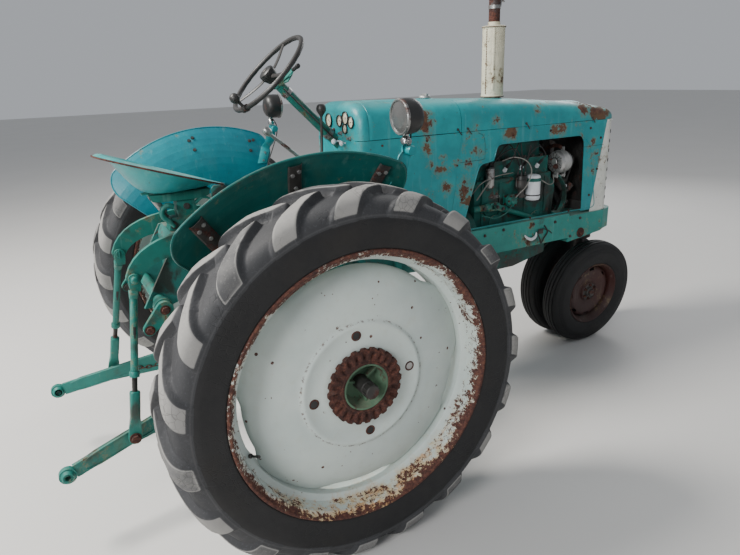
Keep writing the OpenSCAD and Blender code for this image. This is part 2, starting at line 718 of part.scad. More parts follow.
// Draws the fender on the left; the right one is its mirror image
module fender_shape() union() {
    intersection() {
        about_axle(2) fender_section();
        translate([0, fender_in_y - 20, rear_z]) rotate([90, 0, 0]) mirror([0, 0, 1])
            linear_extrude(fender_out_y - fender_in_y + 40) fender_outline();
    }
    // Bracket down to the axle tube's flange
    foot = tube_flange_r + seat_gap;
    translate([-40, fender_in_y - 20, rear_z + foot]) cube([80, 20 + fender_t, fender_low_r + 50 - foot]);
}
module fender_left() color(teal) fender_shape();
module fender_right() color(teal_dark) left_side() fender_shape();

// Draws the right lamp; lamp_deg is where its post stands on the fender's sheet
lamp_c = [345, -740, 1597];
lamp_r = 66;
lamp_deg = fender_front_deg + 3;
lamp_post_y = -fender_in_y - 40;
module lamp() {
    translate(lamp_c) rotate([0, 90, 0]) {
        cylinder(r = lamp_r, h = 50);
        translate([0, 0, 49]) cylinder(r1 = lamp_r, r2 = 40, h = 34);
    }
    // The post's foot is cut to the sheet's slope
    up = [cos(lamp_deg), 0, sin(lamp_deg)];
    foot = [0, lamp_post_y, rear_z] + fender_bend_at * up;
    top = [0, lamp_post_y, rear_z] + (fender_r + 60) * up;
    difference() {
        rod(foot, top, 12);
        left_side() about_axle(0) polygon(concat(
            [[fender_low_r, fender_in_y - seat_gap]], fender_line(fender_bend_r + seat_gap),
            [[fender_r, fender_out_y + 100], [fender_low_r, fender_out_y + 100]]));
    }
    rod(top - 5 * up, lamp_c + [35, 0, -lamp_r + 8], 12);
}
module lamps() color(rubber) {
    lamp();
    left_side() lamp();
}

// Seat

pan_slope = atan(pan_fall / pan_len);
// Outline of the pan's edge, drawn in the plane of its lip
module pan_outline(inset) hull() {
    translate([120, 0]) circle(r = 120 - inset);
    for (s = [-1, 1]) {
        translate([pan_len * 0.42, s * (pan_w / 2 - 110)]) circle(r = 110 - inset);
        translate([pan_len / cos(pan_slope) - 70, s * 120]) circle(r = 70 - inset);
    }
}
module on_pan_rim(drop) translate([-pan_back_x, 0, pan_back_z - drop]) rotate([0, pan_slope, 0]) children();
module pan_floor(inset, z) translate([0, 0, z]) linear_extrude(0.5) hull() for (s = [-1, 1]) {
    translate([-430, s * 90]) circle(r = 70 - inset);
    translate([-280, s * 90]) circle(r = 60 - inset);
}
// The old seat leans to the left about its floor
module leaned() translate([0, 0, pan_floor_z]) rotate([-seat_lean, 0, 0]) translate([0, 0, -pan_floor_z]) children();
module seat_pan() color(teal) leaned() difference() {
    union() {
        on_pan_rim(0) linear_extrude(pan_t) pan_outline(0);
        hull() {
            on_pan_rim(0) linear_extrude(pan_t) pan_outline(pan_lip);
            pan_floor(0, pan_floor_z);
        }
    }
    hull() {
        on_pan_rim(-1) linear_extrude(pan_t) pan_outline(pan_lip + pan_t);
        pan_floor(pan_t, pan_floor_z + pan_t);
    }
}

module seat_support() color(teal) {
    // Channel under the pan
    leaned() translate([-450, -50, pan_floor_z - seat_gap - 30]) cube([230, 100, 30]);
    // Post that the channel turns on, and its foot on the lift housing
    translate([-372, -36, lift_top_z + 50]) cube([76, 72, pan_floor_z - lift_top_z - 72]);
    translate([-420, -38, lift_top_z + seat_gap]) cube([145, 76, 56]);
    // Damper from the channel's rear end down to the foot
    rod([-440, -14, 1276], [-392, -14, 1180], 13);
    // Curved spring arm behind the post
    xz_plate(-30, -18) difference() {
        translate([-400, 1222]) circle(r = 42);
        translate([-400, 1222]) circle(r = 26);
        translate([-392, 1170]) square([60, 60]);
    }
    translate([-406, -34, 1176]) cube([60, 20, 14]);
}

// Rear lift

lift_top_z = 1130;
cross_c = [-530, 880];
cross_r = 24;
crank_end = [-600, 806];
crank_t = 24;
// Collars on the cross shaft, from beside the lift links' yokes to the cranks
boss_y0 = arm_y + 37;
boss_y1 = cross_y - crank_t / 2 - 4;
module lift_housing() color(teal_dark) difference() {
    union() {
        xz_plate(-170, 170) polygon([[-100, 960 + seat_gap], [-100, lift_top_z], [-420, lift_top_z],
            [-440, 1090], [-440, 930], [-251, 780], [-250 - seat_gap, 901], [-120, 960 + seat_gap]]);
        // Plates that taper down to the cross shaft
        for (s = [-1, 1]) translate([0, s * 177, 0]) xz_plate(-9, 9)
            polygon([[-120, 962], [-120, lift_top_z], [-430, lift_top_z - 5], [-590, 850], [-500, 840], [-260, 910]]);
    }
    y_bar(-lift_x, lift_z, lift_r + run_fit, -200, 200);
    y_bar(cross_c[0], cross_c[1], cross_r + seat_gap, -200, 200);
}
// Cross shaft below the arms, with a collar and a bored crank at each end
module cross_shaft() color(teal_dark) {
    y_bar(cross_c[0], cross_c[1], cross_r, -cross_y - 14, cross_y + 14);
    for (s = [-1, 1]) {
        difference() {
            y_bar(cross_c[0], cross_c[1], 38, s > 0 ? boss_y0 : -boss_y1, s > 0 ? boss_y1 : -boss_y0);
            y_bar(cross_c[0], cross_c[1], cross_r + seat_gap, -cross_y, cross_y);
        }
        translate([0, s * cross_y, 0]) xz_plate(-crank_t / 2, crank_t / 2) difference() {
            hull() {
                translate(cross_c) circle(r = 34);
                translate(crank_end) circle(r = 24);
            }
            translate(crank_end) circle(r = 12);
            translate(cross_c) circle(r = cross_r + seat_gap);
        }
    }
}

// Half the clear width between the two ears that hold a lower link
ear_gap = 33;
ear_t = 12;
module link_bracket() color(teal_dark) for (s = [-1, 1]) {
    for (ear = [-1, 1]) translate([-link_front_x, s * link_front_y + ear * (ear_gap + ear_t / 2), 0])
        xz_plate(-ear_t / 2, ear_t / 2)
            polygon([[-30, link_front_z - 34], [30, link_front_z - 34], [70, 570 - seat_gap], [-70, 570 - seat_gap]]);
    translate([-link_front_x - 70, s * link_front_y - ear_gap - ear_t, 570 - seat_gap - 8])
        cube([140, 2 * (ear_gap + ear_t), 8]);
    y_bar(-link_front_x, link_front_z, pin_r, s * link_front_y - ear_gap - ear_t - 10,
        s * link_front_y + ear_gap + ear_t + 10);
}

// A lift arm follows a curve from the shaft over the bend to the end pin
arm_curve = [[-lift_x, lift_z], [-lift_x - 330, lift_z + 30], [-arm_pin_x, arm_pin_z]];
arm_r0 = 52;
arm_r1 = 29;
arm_steps = 10;
function arm_mid(t) = (1 - t) * (1 - t) * arm_curve[0] + 2 * t * (1 - t) * arm_curve[1] + t * t * arm_curve[2];
function arm_way(t) = 2 * (1 - t) * (arm_curve[1] - arm_curve[0]) + 2 * t * (arm_curve[2] - arm_curve[1]);
// Point on the arm's edge, on the side given by +1 or -1
function arm_edge(t, side) = let (w = arm_way(t) / norm(arm_way(t)), r = arm_r0 + (arm_r1 - arm_r0) * t)
    arm_mid(t) + side * r * [-w[1], w[0]];
module lift_arm() xz_plate(-arm_y - arm_t / 2, -arm_y + arm_t / 2) difference() {
    union() {
        translate(arm_curve[0]) circle(r = arm_r0 + 6);
        polygon(concat([for (i = [0 : arm_steps]) arm_edge(i / arm_steps, 1)],
            [for (i = [arm_steps : -1 : 0]) arm_edge(i / arm_steps, -1)]));
        translate(arm_curve[2]) circle(r = arm_r1);
    }
    translate(arm_curve[2]) circle(r = pin_r + run_fit);
}
module lift_arms() color(teal) {
    lift_arm();
    left_side() lift_arm();
    y_bar(-lift_x, lift_z, lift_r, -arm_y, arm_y);
}

// Where the lift link's lower eye stands beside the lower link
low_pin = [-727, -357, 367];
yoke_half_w = 31;
yoke_wall = 10;
yoke_drop = 50;
module lift_link() {
    top = [-arm_pin_x, -arm_y, arm_pin_z];
    d = low_pin - top;
    // Pin through the arm, and the yoke that hangs on it
    y_bar(top[0], top[2], pin_r, -arm_y - yoke_half_w - 8, -arm_y + yoke_half_w + 8);
    translate([top[0] - 22, top[1], top[2]]) rotate([90, 0, 90]) linear_extrude(40) difference() {
        union() {
            translate([-yoke_half_w, -yoke_drop]) square([2 * yoke_half_w, yoke_drop + 20]);
            translate([0, -yoke_drop]) circle(r = yoke_half_w);
        }
        translate([yoke_wall - yoke_half_w, -yoke_drop]) square([2 * (yoke_half_w - yoke_wall), yoke_drop + 21]);
        translate([0, -yoke_drop]) circle(r = yoke_half_w - yoke_wall);
    }
    // Tube, screw, and the flattened fork end beside the lower link
    rod(top + 0.115 * d, top + 0.62 * d, 15);
    rod(top + 0.6 * d, top + 0.72 * d, 11);
    rod(top + 0.7 * d, top + 0.93 * d, 21);
    translate([0, low_pin[1], 0]) xz_plate(-5, 5) {
        translate([low_pin[0], low_pin[2]]) circle(r = 27);
        polygon([[low_pin[0] - 26, low_pin[2]], [low_pin[0] + 26, low_pin[2]],
            [low_pin[0] + 30, low_pin[2] + 74], [low_pin[0] - 8, low_pin[2] + 74]]);
    }
    y_bar(low_pin[0], low_pin[2], pin_r + 3, low_pin[1] - 18, low_pin[1]);
}

// Half the length of a hitch ball along its bore
ball_half_l = 25.6;
// Half the length of the eye that a lower link turns on
pivot_half_l = 12;
module lower_link() {
    ball = [-ball_x, -ball_y, ball_z];
    pivot = [-link_front_x, -link_front_y, link_front_z];
    d = pivot - ball;
    yaw = atan2(d[1], d[0]);
    tilt = -atan2(d[2], norm([d[0], d[1]]));
    eye_r = link_h / 2 + 2;
    // Ring and hitch ball, turned about the bore that an implement's pin fills
    translate(ball) rotate([90, 0, 0]) rotate_extrude() polygon([[ball_bore_r, -ball_half_l],
        [ball_r * 0.7, -ball_half_l], [ball_r, -link_t * 0.75], [eye_r, -link_t * 0.75], [eye_r, link_t * 0.75],
        [ball_r, link_t * 0.75], [ball_r * 0.7, ball_half_l], [ball_bore_r, ball_half_l]]);
    // Bar, which ends inside both rings
    bar_x1 = norm(d) - pin_r - 8;
    half = link_h / 2 - 2;
    translate(ball) rotate([0, tilt, yaw]) xz_plate(-link_t / 2, link_t / 2)
        polygon([[ball_r, half], [bar_x1, half], [bar_x1, -half], [bar_x1 - 110, -half - link_web * 0.6],
            [bar_x1 - 420, -half - link_web], [220, -half], [ball_r, -half]]);
    y_tube(pivot, eye_r, pin_r + run_fit, pivot_half_l);
}

// Front wheels

spindle_top_z = 880;
hub_y = front_half_track + front_tyre_r * sin(camber);
hub_z = front_tyre_r * cos(camber);
// Turns a shape drawn about Z to the right front wheel's axle; +Z is outward
module at_front_wheel() translate([wheelbase, -hub_y, hub_z]) rotate([90 + camber, 0, 0]) children();

module front_spindle() color(iron) {
    translate([wheelbase, 0, 600]) cylinder(r = spindle_r, h = spindle_top_z - 600);
    translate([wheelbase, 0, 698]) cylinder(r = 78, h = 18);
    translate([wheelbase, 0, 330]) cylinder(r = 36, h = 370);
    translate([wheelbase - 60, -30, 300]) cube([120, 60, 110]);
    for (s = [0, 1]) mirror([0, s, 0]) at_front_wheel() translate([0, 0, -100]) cylinder(r = stub_r, h = 130);
}

// Slots near the rim of a front wheel
front_slots = 8;
front_slot_r = 9;
front_slot_at = 166;
// Table of the front tread's ribs: distance across, how far below the crown
front_ribs = [[-52, 15], [-31, 5.5], [-29, 14], [-24, 14], [-22, 3], [-8, 0.6], [-6, 10],
    [6, 10], [8, 0.6], [22, 3], [24, 14], [29, 14], [31, 5.5], [52, 15]];
module front_tyre_shape() at_front_wheel() rotate_extrude($fn = 64)
    polygon(concat(
        [[front_rim_r + seat_gap, -50], [front_rim_r + 20, -62]],
        arc(front_tyre_r - 80, 0, front_tyre_w / 2, 260, 300, 3),
        [for (rib = front_ribs) [front_tyre_r - rib[1], rib[0]]],
        arc(front_tyre_r - 80, 0, front_tyre_w / 2, 60, 100, 3),
        [[front_rim_r + 20, 62], [front_rim_r + seat_gap, 50]]));
module front_wheel_shape() at_front_wheel() difference() {
    rotate_extrude($fn = 64) polygon([[0, -36], [58, -36], [58, 0], [150, 8], [188, 0], [188, -56], [205, -60],
        [205, -48], [194, -46], [194, 46], [205, 48], [205, 60], [188, 56], [188, 8], [150, 16], [70, 10], [58, 40], [0, 44]]);
    translate([0, 0, -40]) cylinder(r = stub_r + run_fit, h = 72);
    for (i = [0 : front_slots - 1]) rotate([0, 0, 360 * i / front_slots])
        translate([front_slot_at, 0, 0]) cylinder(r = front_slot_r, h = 40);
}

// Rear wheels

tread_r = rear_tyre_r - lug_h;
tyre_fn = 2 * lug_count;
half_w = rear_tyre_w / 2;
// The bead sits between the rim's flanges, on the bead seats
bead_r = rear_rim_r - 24;
bead_half_w = rear_rim_w / 2 - 20;
// Radius of the rim's drop centre
well_r = rear_rim_r - 50;
// Table of the sidewall: share of the way from rim to tread, how far inside the widest place
sidewall = [[0.32, 4], [0.63, 0], [0.87, 14], [1, 48]];
function sidewall_r(share) = rear_rim_r + share * (tread_r - rear_rim_r);
module tyre_carcass() rotate_extrude($fn = tyre_fn) {
    seat_r = flats(bead_r + seat_gap, tyre_fn);
    lip_r = flats(rear_rim_r + seat_gap, tyre_fn);
    polygon(concat(
        [[seat_r, -bead_half_w + seat_gap], [lip_r, -bead_half_w - 6 + seat_gap]],
        [for (w = sidewall) [sidewall_r(w[0]), w[1] - half_w]],
        [[tread_r + 4, 0]],
        [for (i = [len(sidewall) - 1 : -1 : 0]) [sidewall_r(sidewall[i][0]), half_w - sidewall[i][1]]],
        [[lip_r, bead_half_w + 6 - seat_gap], [seat_r, bead_half_w - seat_gap]]));
}
// Table of stations along a lug: turn about the axle, distance across, tip radius
lug_stations = [[0, 8, rear_tyre_r], [7, 70, rear_tyre_r - 3], [14, 139, rear_tyre_r - 28]];
lug_root_r = tread_r - lug_h * 2;
module lug() {
    for (i = [0 : len(lug_stations) - 2]) hull() for (s = [lug_stations[i], lug_stations[i + 1]])
        rotate([0, 0, s[0]]) translate([0, 0, s[1]]) rotate([0, 90, 0]) translate([-4, -lug_t / 2, lug_root_r])
            cube([8, lug_t, s[2] - lug_root_r]);
}
module tyre_shape() {
    tyre_carcass();
    for (i = [0 : lug_count - 1]) {
        rotate([0, 0, 360 * i / lug_count]) lug();
        rotate([0, 0, 360 * (i + 0.5) / lug_count]) mirror([0, 0, 1]) lug();
    }
}
// Turns a shape drawn about Z to the right rear wheel's axle; +Z is outward
module at_rear_wheel() translate([0, -rear_y, rear_z]) rotate([90, 0, 0]) children();

module rear_rim_shape() at_rear_wheel() rotate_extrude($fn = 96) {
    w = rear_rim_w / 2;
    polygon([[rear_rim_r, w], [rear_rim_r, w - 14], [bead_r, bead_half_w], [bead_r - 4, 62], [well_r, 50],
        [well_r, -50], [bead_r - 4, -62], [bead_r, -bead_half_w], [rear_rim_r, -w + 14], [rear_rim_r, -w],
        [bead_r - rim_t, -w + 14], [bead_r - 4 - rim_t, -64], [well_r - rim_t, -52], [well_r - rim_t, 52],
        [bead_r - 4 - rim_t, 64], [bead_r - rim_t, w - 14]]);
}

disc_z = disc_face_y - rear_y;
// The disc's four lobes reach the rim's well
disc_r = well_r - rim_t - seat_gap;
// Radius inside which the disc is flat
disc_flat_r = 240;
module rear_disc_shape() at_rear_wheel() difference() {
    translate([0, 0, disc_z]) rotate_extrude($fn = 96)
        polygon([[cup_r, -disc_t], [disc_flat_r, -disc_t], [disc_r, -disc_dish - disc_t], [disc_r, -disc_dish],
            [disc_flat_r, 0], [cup_r, 0]]);
    for (a = [0 : 90 : 270]) {
        rotate([0, 0, a + 6]) translate([disc_hole_pcd_r, 0, 0]) cylinder(r = disc_hole_r, h = 200);
        rotate([0, 0, a - 8]) translate([disc_r - disc_flat_cut, -200, 0]) cube([100, 400, 200]);
    }
}

module rear_hub_shape() at_rear_wheel() {
    hz = hub_face_y - rear_y;
    // Hub behind the disc, open cup in front, shaft through
    translate([0, 0, tube_end_y - rear_y + 6]) cylinder(r = 120, h = disc_z - disc_t - seat_gap - (tube_end_y - rear_y + 6));
    difference() {
        translate([0, 0, disc_z + seat_gap]) cylinder(r = ring_r, h = hz - disc_z);
        translate([0, 0, disc_z - 1]) cylinder(r = cup_r - 8, h = 60);
        for (i = [0 : ring_teeth - 1]) rotate([0, 0, 360 * i / ring_teeth])
            translate([ring_r, 0, disc_z - 1]) cylinder(r = 7, h = 60);
    }
    translate([0, 0, disc_z - disc_t - 2]) cylinder(r = cup_r - 6, h = disc_t + 6);
    translate([0, 0, 610 - rear_y]) cylinder(r = axle_r, h = hub_face_y + axle_out - 610);
}

// A lug stands exactly at the bottom, so that the tyre rests on it
module rear_tyre_shape() at_rear_wheel() rotate([0, 0, -90]) tyre_shape();

placed() rear_housing();
placed() axle_tubes();
placed() clutch_housing();
placed() engine_block();
placed() cylinder_head();
placed() manifold();
placed() oil_filter();
placed() alternator();
placed() distributor();
placed() fuel_pump();
placed() fan();
placed() radiator();
placed() frame_rails();
placed() front_bolster();
placed() hood();
placed() side_panel_left();
placed() side_panel_right();
placed() cowl();
placed() fuel_tank();
placed() grille();
placed() muffler();
placed() steering_column();
placed() controls();
placed() foot_controls();
placed() steering_shaft();
placed() fender_left();
placed() fender_right();
placed() lamps();
placed() seat_pan();
placed() seat_support();
placed() lift_housing();
placed() cross_shaft();
placed() link_bracket();
placed() steering_wheel();
placed() front_spindle();
placed() color(rubber) left_side() front_tyre_shape();  // front_tyre_left
placed() color(rust) left_side() front_wheel_shape();  // front_wheel_left
placed() color(rubber) front_tyre_shape();  // front_tyre_right
placed() color(rust) front_wheel_shape();  // front_wheel_right
placed() color(rubber) left_side() rear_tyre_shape();  // rear_tyre_left
placed() color(cream) left_side() rear_rim_shape();  // rear_rim_left
placed() color(cream) left_side() rear_disc_shape();  // rear_disc_left
placed() color(rust) left_side() rear_hub_shape();  // rear_hub_left
placed() color(rubber) rear_tyre_shape();  // rear_tyre_right
placed() color(cream) rear_rim_shape();  // rear_rim_right
placed() color(cream) rear_disc_shape();  // rear_disc_right
placed() color(rust) rear_hub_shape();  // rear_hub_right
placed() lift_arms();
placed() color(teal) left_side() lift_link();  // lift_link_left
placed() color(teal) lift_link();  // lift_link_right
placed() color(teal) left_side() lower_link();  // lower_link_left
placed() color(teal) lower_link();  // lower_link_right
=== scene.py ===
"""Looks of the row-crop tractor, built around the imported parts.

Pieces are drawn in metres from the point on the ground under the rear axle
(X forward, Y left, Z up) and shifted once, in new_mesh(), to the part's origin.
Outlines given as mm(...) are pairs of millimetres.
"""
import math

import bpy
import bmesh
import numpy as np
from mathutils import Matrix, Vector, noise


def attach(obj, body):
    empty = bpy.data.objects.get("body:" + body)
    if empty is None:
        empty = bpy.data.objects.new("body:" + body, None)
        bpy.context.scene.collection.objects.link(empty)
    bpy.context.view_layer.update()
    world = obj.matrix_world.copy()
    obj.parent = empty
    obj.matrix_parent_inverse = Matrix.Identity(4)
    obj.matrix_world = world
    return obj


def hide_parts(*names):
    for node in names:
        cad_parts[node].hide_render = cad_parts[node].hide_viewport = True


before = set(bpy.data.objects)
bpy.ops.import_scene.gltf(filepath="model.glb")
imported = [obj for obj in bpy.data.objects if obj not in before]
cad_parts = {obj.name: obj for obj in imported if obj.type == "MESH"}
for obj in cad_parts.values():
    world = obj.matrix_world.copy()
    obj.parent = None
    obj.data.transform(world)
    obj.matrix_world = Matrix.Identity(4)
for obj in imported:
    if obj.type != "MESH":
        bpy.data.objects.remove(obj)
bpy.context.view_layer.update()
REAR_AXLE_X = -0.740
SIDES = {"left": 1, "right": -1}


# ---------------------------------------------------------------- camera

CAMERA_PLACE = (REAR_AXLE_X - 0.8666, -2.7033, 1.7477)
CAMERA_YAW, CAMERA_PITCH, CAMERA_ROLL = 0.4942, 0.3261, -0.036
FOCAL_PX, PHOTO_WIDTH_PX, SENSOR_MM = 596.91, 740, 36


def set_camera():
    """Stands the camera where the photograph was taken from."""
    ahead, aside = math.cos(CAMERA_YAW), math.sin(CAMERA_YAW)
    look = Vector((aside * math.cos(CAMERA_PITCH), ahead * math.cos(CAMERA_PITCH), -math.sin(CAMERA_PITCH)))
    level = Vector((ahead, -aside, 0))
    over = level.cross(look)
    right = math.cos(CAMERA_ROLL) * level + math.sin(CAMERA_ROLL) * over
    up = -math.sin(CAMERA_ROLL) * level + math.cos(CAMERA_ROLL) * over
    data = bpy.data.cameras.new("camera")
    data.sensor_fit, data.sensor_width = "HORIZONTAL", SENSOR_MM
    data.lens = FOCAL_PX / PHOTO_WIDTH_PX * SENSOR_MM
    data.clip_end = 200
    cam = bpy.data.objects.new("camera", data)
    cam.matrix_world = Matrix.Translation(CAMERA_PLACE) @ Matrix((right, up, -look)).transposed().to_4x4()
    bpy.context.scene.collection.objects.link(cam)
    bpy.context.scene.camera = cam


# ---------------------------------------------------------------- finishes

class Value:
    """One shader value. Python's operators on it add Math nodes."""

    def __init__(self, finish, socket):
        self.finish, self.socket = finish, socket

    def math(self, operation, *others):
        return self.finish.node("ShaderNodeMath", {"operation": operation}, dict(enumerate((self,) + others)))

    def __add__(self, other):
        return self.math("ADD", other)

    def __mul__(self, other):
        return self.math("MULTIPLY", other)

    def __sub__(self, other):
        return self.math("SUBTRACT", other)

    def __rsub__(self, other):
        return self.finish.node("ShaderNodeMath", {"operation": "SUBTRACT"}, {0: other, 1: self})

    __radd__, __rmul__ = __add__, __mul__

    def rises(self, low, high):
        """0 below low, 1 above high, smooth between. With low above high it falls."""
        return self.finish.node("ShaderNodeMapRange", {"interpolation_type": "SMOOTHSTEP"},
                                {0: self, 1: low, 2: high, 3: 0.0, 4: 1.0})

    def least(self, other):
        return self.math("MINIMUM", other)

    def most(self, other):
        return self.math("MAXIMUM", other)


class Finish:
    """A material under construction, patterned on Object coordinates."""

    def __init__(self, name):
        self.material = bpy.data.materials.new(name)
        self.material.use_nodes = True
        self.tree = self.material.node_tree
        self.surface = self.tree.nodes["Principled BSDF"]
        self.at = self.node("ShaderNodeTexCoord", out="Object")

    def node(self, kind, settings=None, sockets=None, out=0):
        """Adds a node; settings are set first, then its sockets' values or links."""
        made = self.tree.nodes.new(kind)
        for key, value in (settings or {}).items():
            if key == "stops":
                ramp = made.color_ramp
                while len(ramp.elements) < len(value):
                    ramp.elements.new(0.5)
                for element, (place, colour) in zip(ramp.elements, value):
                    element.position, element.color = place, (*colour, 1)
            else:
                setattr(made, key, value)
        for key, value in (sockets or {}).items():
            if isinstance(value, Value):
                self.tree.links.new(value.socket, made.inputs[key])
            else:
                made.inputs[key].default_value = value
        return Value(self, made.outputs[out])

    def stretched(self, scale, turn=(0, 0, 0)):
        return self.node("ShaderNodeMapping", {}, {0: self.at, 2: turn, 3: scale})

    def noise(self, scale, detail=3.0, rough=0.55, at=None, bend=0.0):
        return self.node("ShaderNodeTexNoise", {}, {"Vector": at or self.at, "Scale": scale, "Detail": detail,
                         "Roughness": rough, "Distortion": bend})

    def cells(self, scale, feature="F1", at=None, random_=1.0):
        return self.node("ShaderNodeTexVoronoi", {"feature": feature},
                         {"Vector": at or self.at, "Scale": scale, "Randomness": random_})

    def facing(self, axis):
        """How far a face points along an axis, from -1 to 1."""
        normal = self.node("ShaderNodeNewGeometry", out="Normal")
        return self.node("ShaderNodeVectorMath", {"operation": "DOT_PRODUCT"}, {0: normal, 1: axis},
                         out="Value")

    def coordinate(self, axis):
        return self.node("ShaderNodeSeparateXYZ", {}, {0: self.at}, out=axis)

    def radius_from(self, x, z):
        """Distance of a point from a wheel's axis, in metres."""
        dx, dz = self.coordinate("X") - x, self.coordinate("Z") - z
        return (dx * dx + dz * dz).math("SQRT")

    def mix(self, mask, low, high):
        sockets = {0: mask}
        for key, colour in ((6, low), (7, high)):
            sockets[key] = colour if isinstance(colour, Value) else (*colour, 1)
        return self.node("ShaderNodeMix", {"data_type": "RGBA"}, sockets, out=2)

    def relief(self, height, depth, strength=1.0, below=None):
        sockets = {"Height": height, "Distance": depth, "Strength": strength}
        if below is not None:
            sockets["Normal"] = below
        return self.node("ShaderNodeBump", {}, sockets)

    def set(self, **values):
        for key, value in values.items():
            socket = self.surface.inputs[key.replace("_", " ")]
            if isinstance(value, Value):
                self.tree.links.new(value.socket, socket)
            elif isinstance(value, tuple) and len(value) == 3 and socket.type == "RGBA":
                socket.default_value = (*value, 1)
            else:
                socket.default_value = value
        return self.material


RUST_DARK, RUST, RUST_LIGHT = (0.020, 0.009, 0.008), (0.074, 0.025, 0.018), (0.165, 0.066, 0.038)
RUST_BLOOM, RUST_STAIN, RUST_HALO = (0.125, 0.073, 0.036), (0.20, 0.15, 0.065), (0.22, 0.17, 0.08)
BLEACHED, FIELD_DUST, ROAD_DIRT = (0.75, 0.85, 0.8), (0.42, 0.44, 0.36), (0.30, 0.26, 0.19)
GREASE, OIL = (0.030, 0.024, 0.018), (0.022, 0.019, 0.016)


def rust_colour(f, scale=60):
    """Brown rust that varies from nearly black pits to orange bloom."""
    return f.node("ShaderNodeValToRGB", {"stops": [(0.30, RUST_DARK), (0.50, RUST), (0.72, RUST_LIGHT)]},
                  {0: f.noise(scale, 5, 0.7)})


def old_paint(name, fresh, faded, rust_amount, gloss=0.42, dust=0.35, grease=0.0, pit=0.5, blotches=()):
    """Sun-faded enamel that has rusted through in patches, with dust where it lies flat.

    blotches are (x, z, radius) of bare patches.
    """
    f = Finish(name)
    fade = f.noise(2.3, 4, 0.6).rises(0.36, 0.66)
    mottle = f.noise(19, 5, 0.65).rises(0.35, 0.7)
    body = f.mix(fade * 0.75, fresh, faded)
    body = f.mix(mottle * 0.28, body, tuple(c * 0.62 for c in fresh))
    streak = f.noise(3.2, 4, 0.6, at=f.stretched((9, 9, 0.8))).rises(0.56, 0.72)
    body = f.mix(streak * 0.11, body, tuple(0.5 * c + 0.5 * w for c, w in zip(faded, BLEACHED)))
    wide = f.noise(4.2, 6, 0.68, bend=0.4)
    fine = f.noise(31, 6, 0.75)
    field = wide * 0.62 + fine * 0.38
    edge = 0.66 - 0.16 * rust_amount
    patch = field.rises(edge, edge + 0.022)
    halo = field.rises(edge - 0.05, edge + 0.01)
    specks = f.cells(34).rises(0.16 + 0.06 * rust_amount, 0.10) * fine.rises(0.47, 0.56) * pit
    mask = patch.most(specks)
    ragged = (wide - 0.5) * 0.22 + (fine - 0.5) * 0.16
    for x, z, r in blotches:
        reach = f.radius_from(x + REAR_AXLE_X, z) + ragged
        mask = mask.most(reach.rises(r, r - 0.006))
        halo = halo.most(reach.rises(r + 0.030, r - 0.004) * 0.9)
    stain = f.noise(5.5, 5, 0.65, at=f.stretched((1, 1, 0.35))).rises(0.56, 0.68) * rust_amount
    body = f.mix(stain * 0.38, body, RUST_STAIN)
    body = f.mix(halo * 0.5, body, RUST_HALO)
    brown = f.mix(f.noise(11, 4).rises(0.32, 0.62) * 0.75, rust_colour(f), RUST_BLOOM)
    colour = f.mix(mask, body, brown)
    up = f.facing((0, 0, 1)).rises(0.55, 1.0) * f.noise(7, 4).rises(0.35, 0.65)
    colour = f.mix(up * dust, colour, FIELD_DUST)
    if grease:
        sump = f.noise(8, 5, 0.6).rises(0.62 - 0.2 * grease, 0.75 - 0.1 * grease)
        colour = f.mix(sump * 0.82, colour, GREASE)
    rough = mask * 0.38 + up * 0.2 + f.noise(55, 3) * 0.16 + (gloss - 0.1)
    bump = f.relief(mask * -1.0 + f.noise(90, 4) * 0.35 + mask * f.noise(260, 3), 0.0012)
    return f.set(Base_Color=colour, Roughness=rough, Normal=bump, Metallic=0.0)


def casting(name, tint, grime):
    """Painted rough casting, dirty with oil and road dust."""
    f = Finish(name)
    grain = f.noise(210, 3, 0.6)
    body = f.mix(f.noise(6, 5, 0.6).rises(0.35, 0.7), tint, tuple(c * 0.55 for c in tint))
    oil = f.noise(5.2, 6, 0.66, bend=0.6).rises(0.60 - 0.22 * grime, 0.72 - 0.12 * grime)
    body = f.mix(oil * 0.9, body, OIL)
    chips = f.noise(15, 6, 0.7).rises(0.60, 0.64)
    body = f.mix(chips * 0.85, body, rust_colour(f, 90))
    up = f.facing((0, 0, 1)).rises(0.3, 0.95)
    body = f.mix(up * 0.45 * f.noise(16, 4).rises(0.3, 0.6), body, ROAD_DIRT)
    bump = f.relief(grain * 0.5 + oil * 0.35 + chips * -0.4, 0.0016)
    return f.set(Base_Color=body, Roughness=0.78 - oil * 0.35, Normal=bump)


def bare(name, tone, metallic, rough, rust_amount, grain=120):
    """Bare or plated metal that has dulled and rusted."""
    f = Finish(name)
    dull = f.noise(9, 5, 0.6).rises(0.3, 0.72)
    body = f.mix(dull, tone, tuple(c * 0.55 for c in tone))
    field = f.noise(13, 6, 0.7)
    mask = field.rises(0.68 - 0.30 * rust_amount, 0.74 - 0.22 * rust_amount)
    scale = f.mix(f.noise(30, 5, 0.7).rises(0.42, 0.60) * 0.7, rust_colour(f, 130), RUST_DARK)
    colour = f.mix(mask, body, scale)
    bump = f.relief(mask * 0.6 + f.noise(grain, 4) * 0.5, 0.0009)
    return f.set(Base_Color=colour, Metallic=(1 - mask) * metallic, Roughness=mask * 0.4 + dull * 0.12 + rough,
                 Normal=bump)


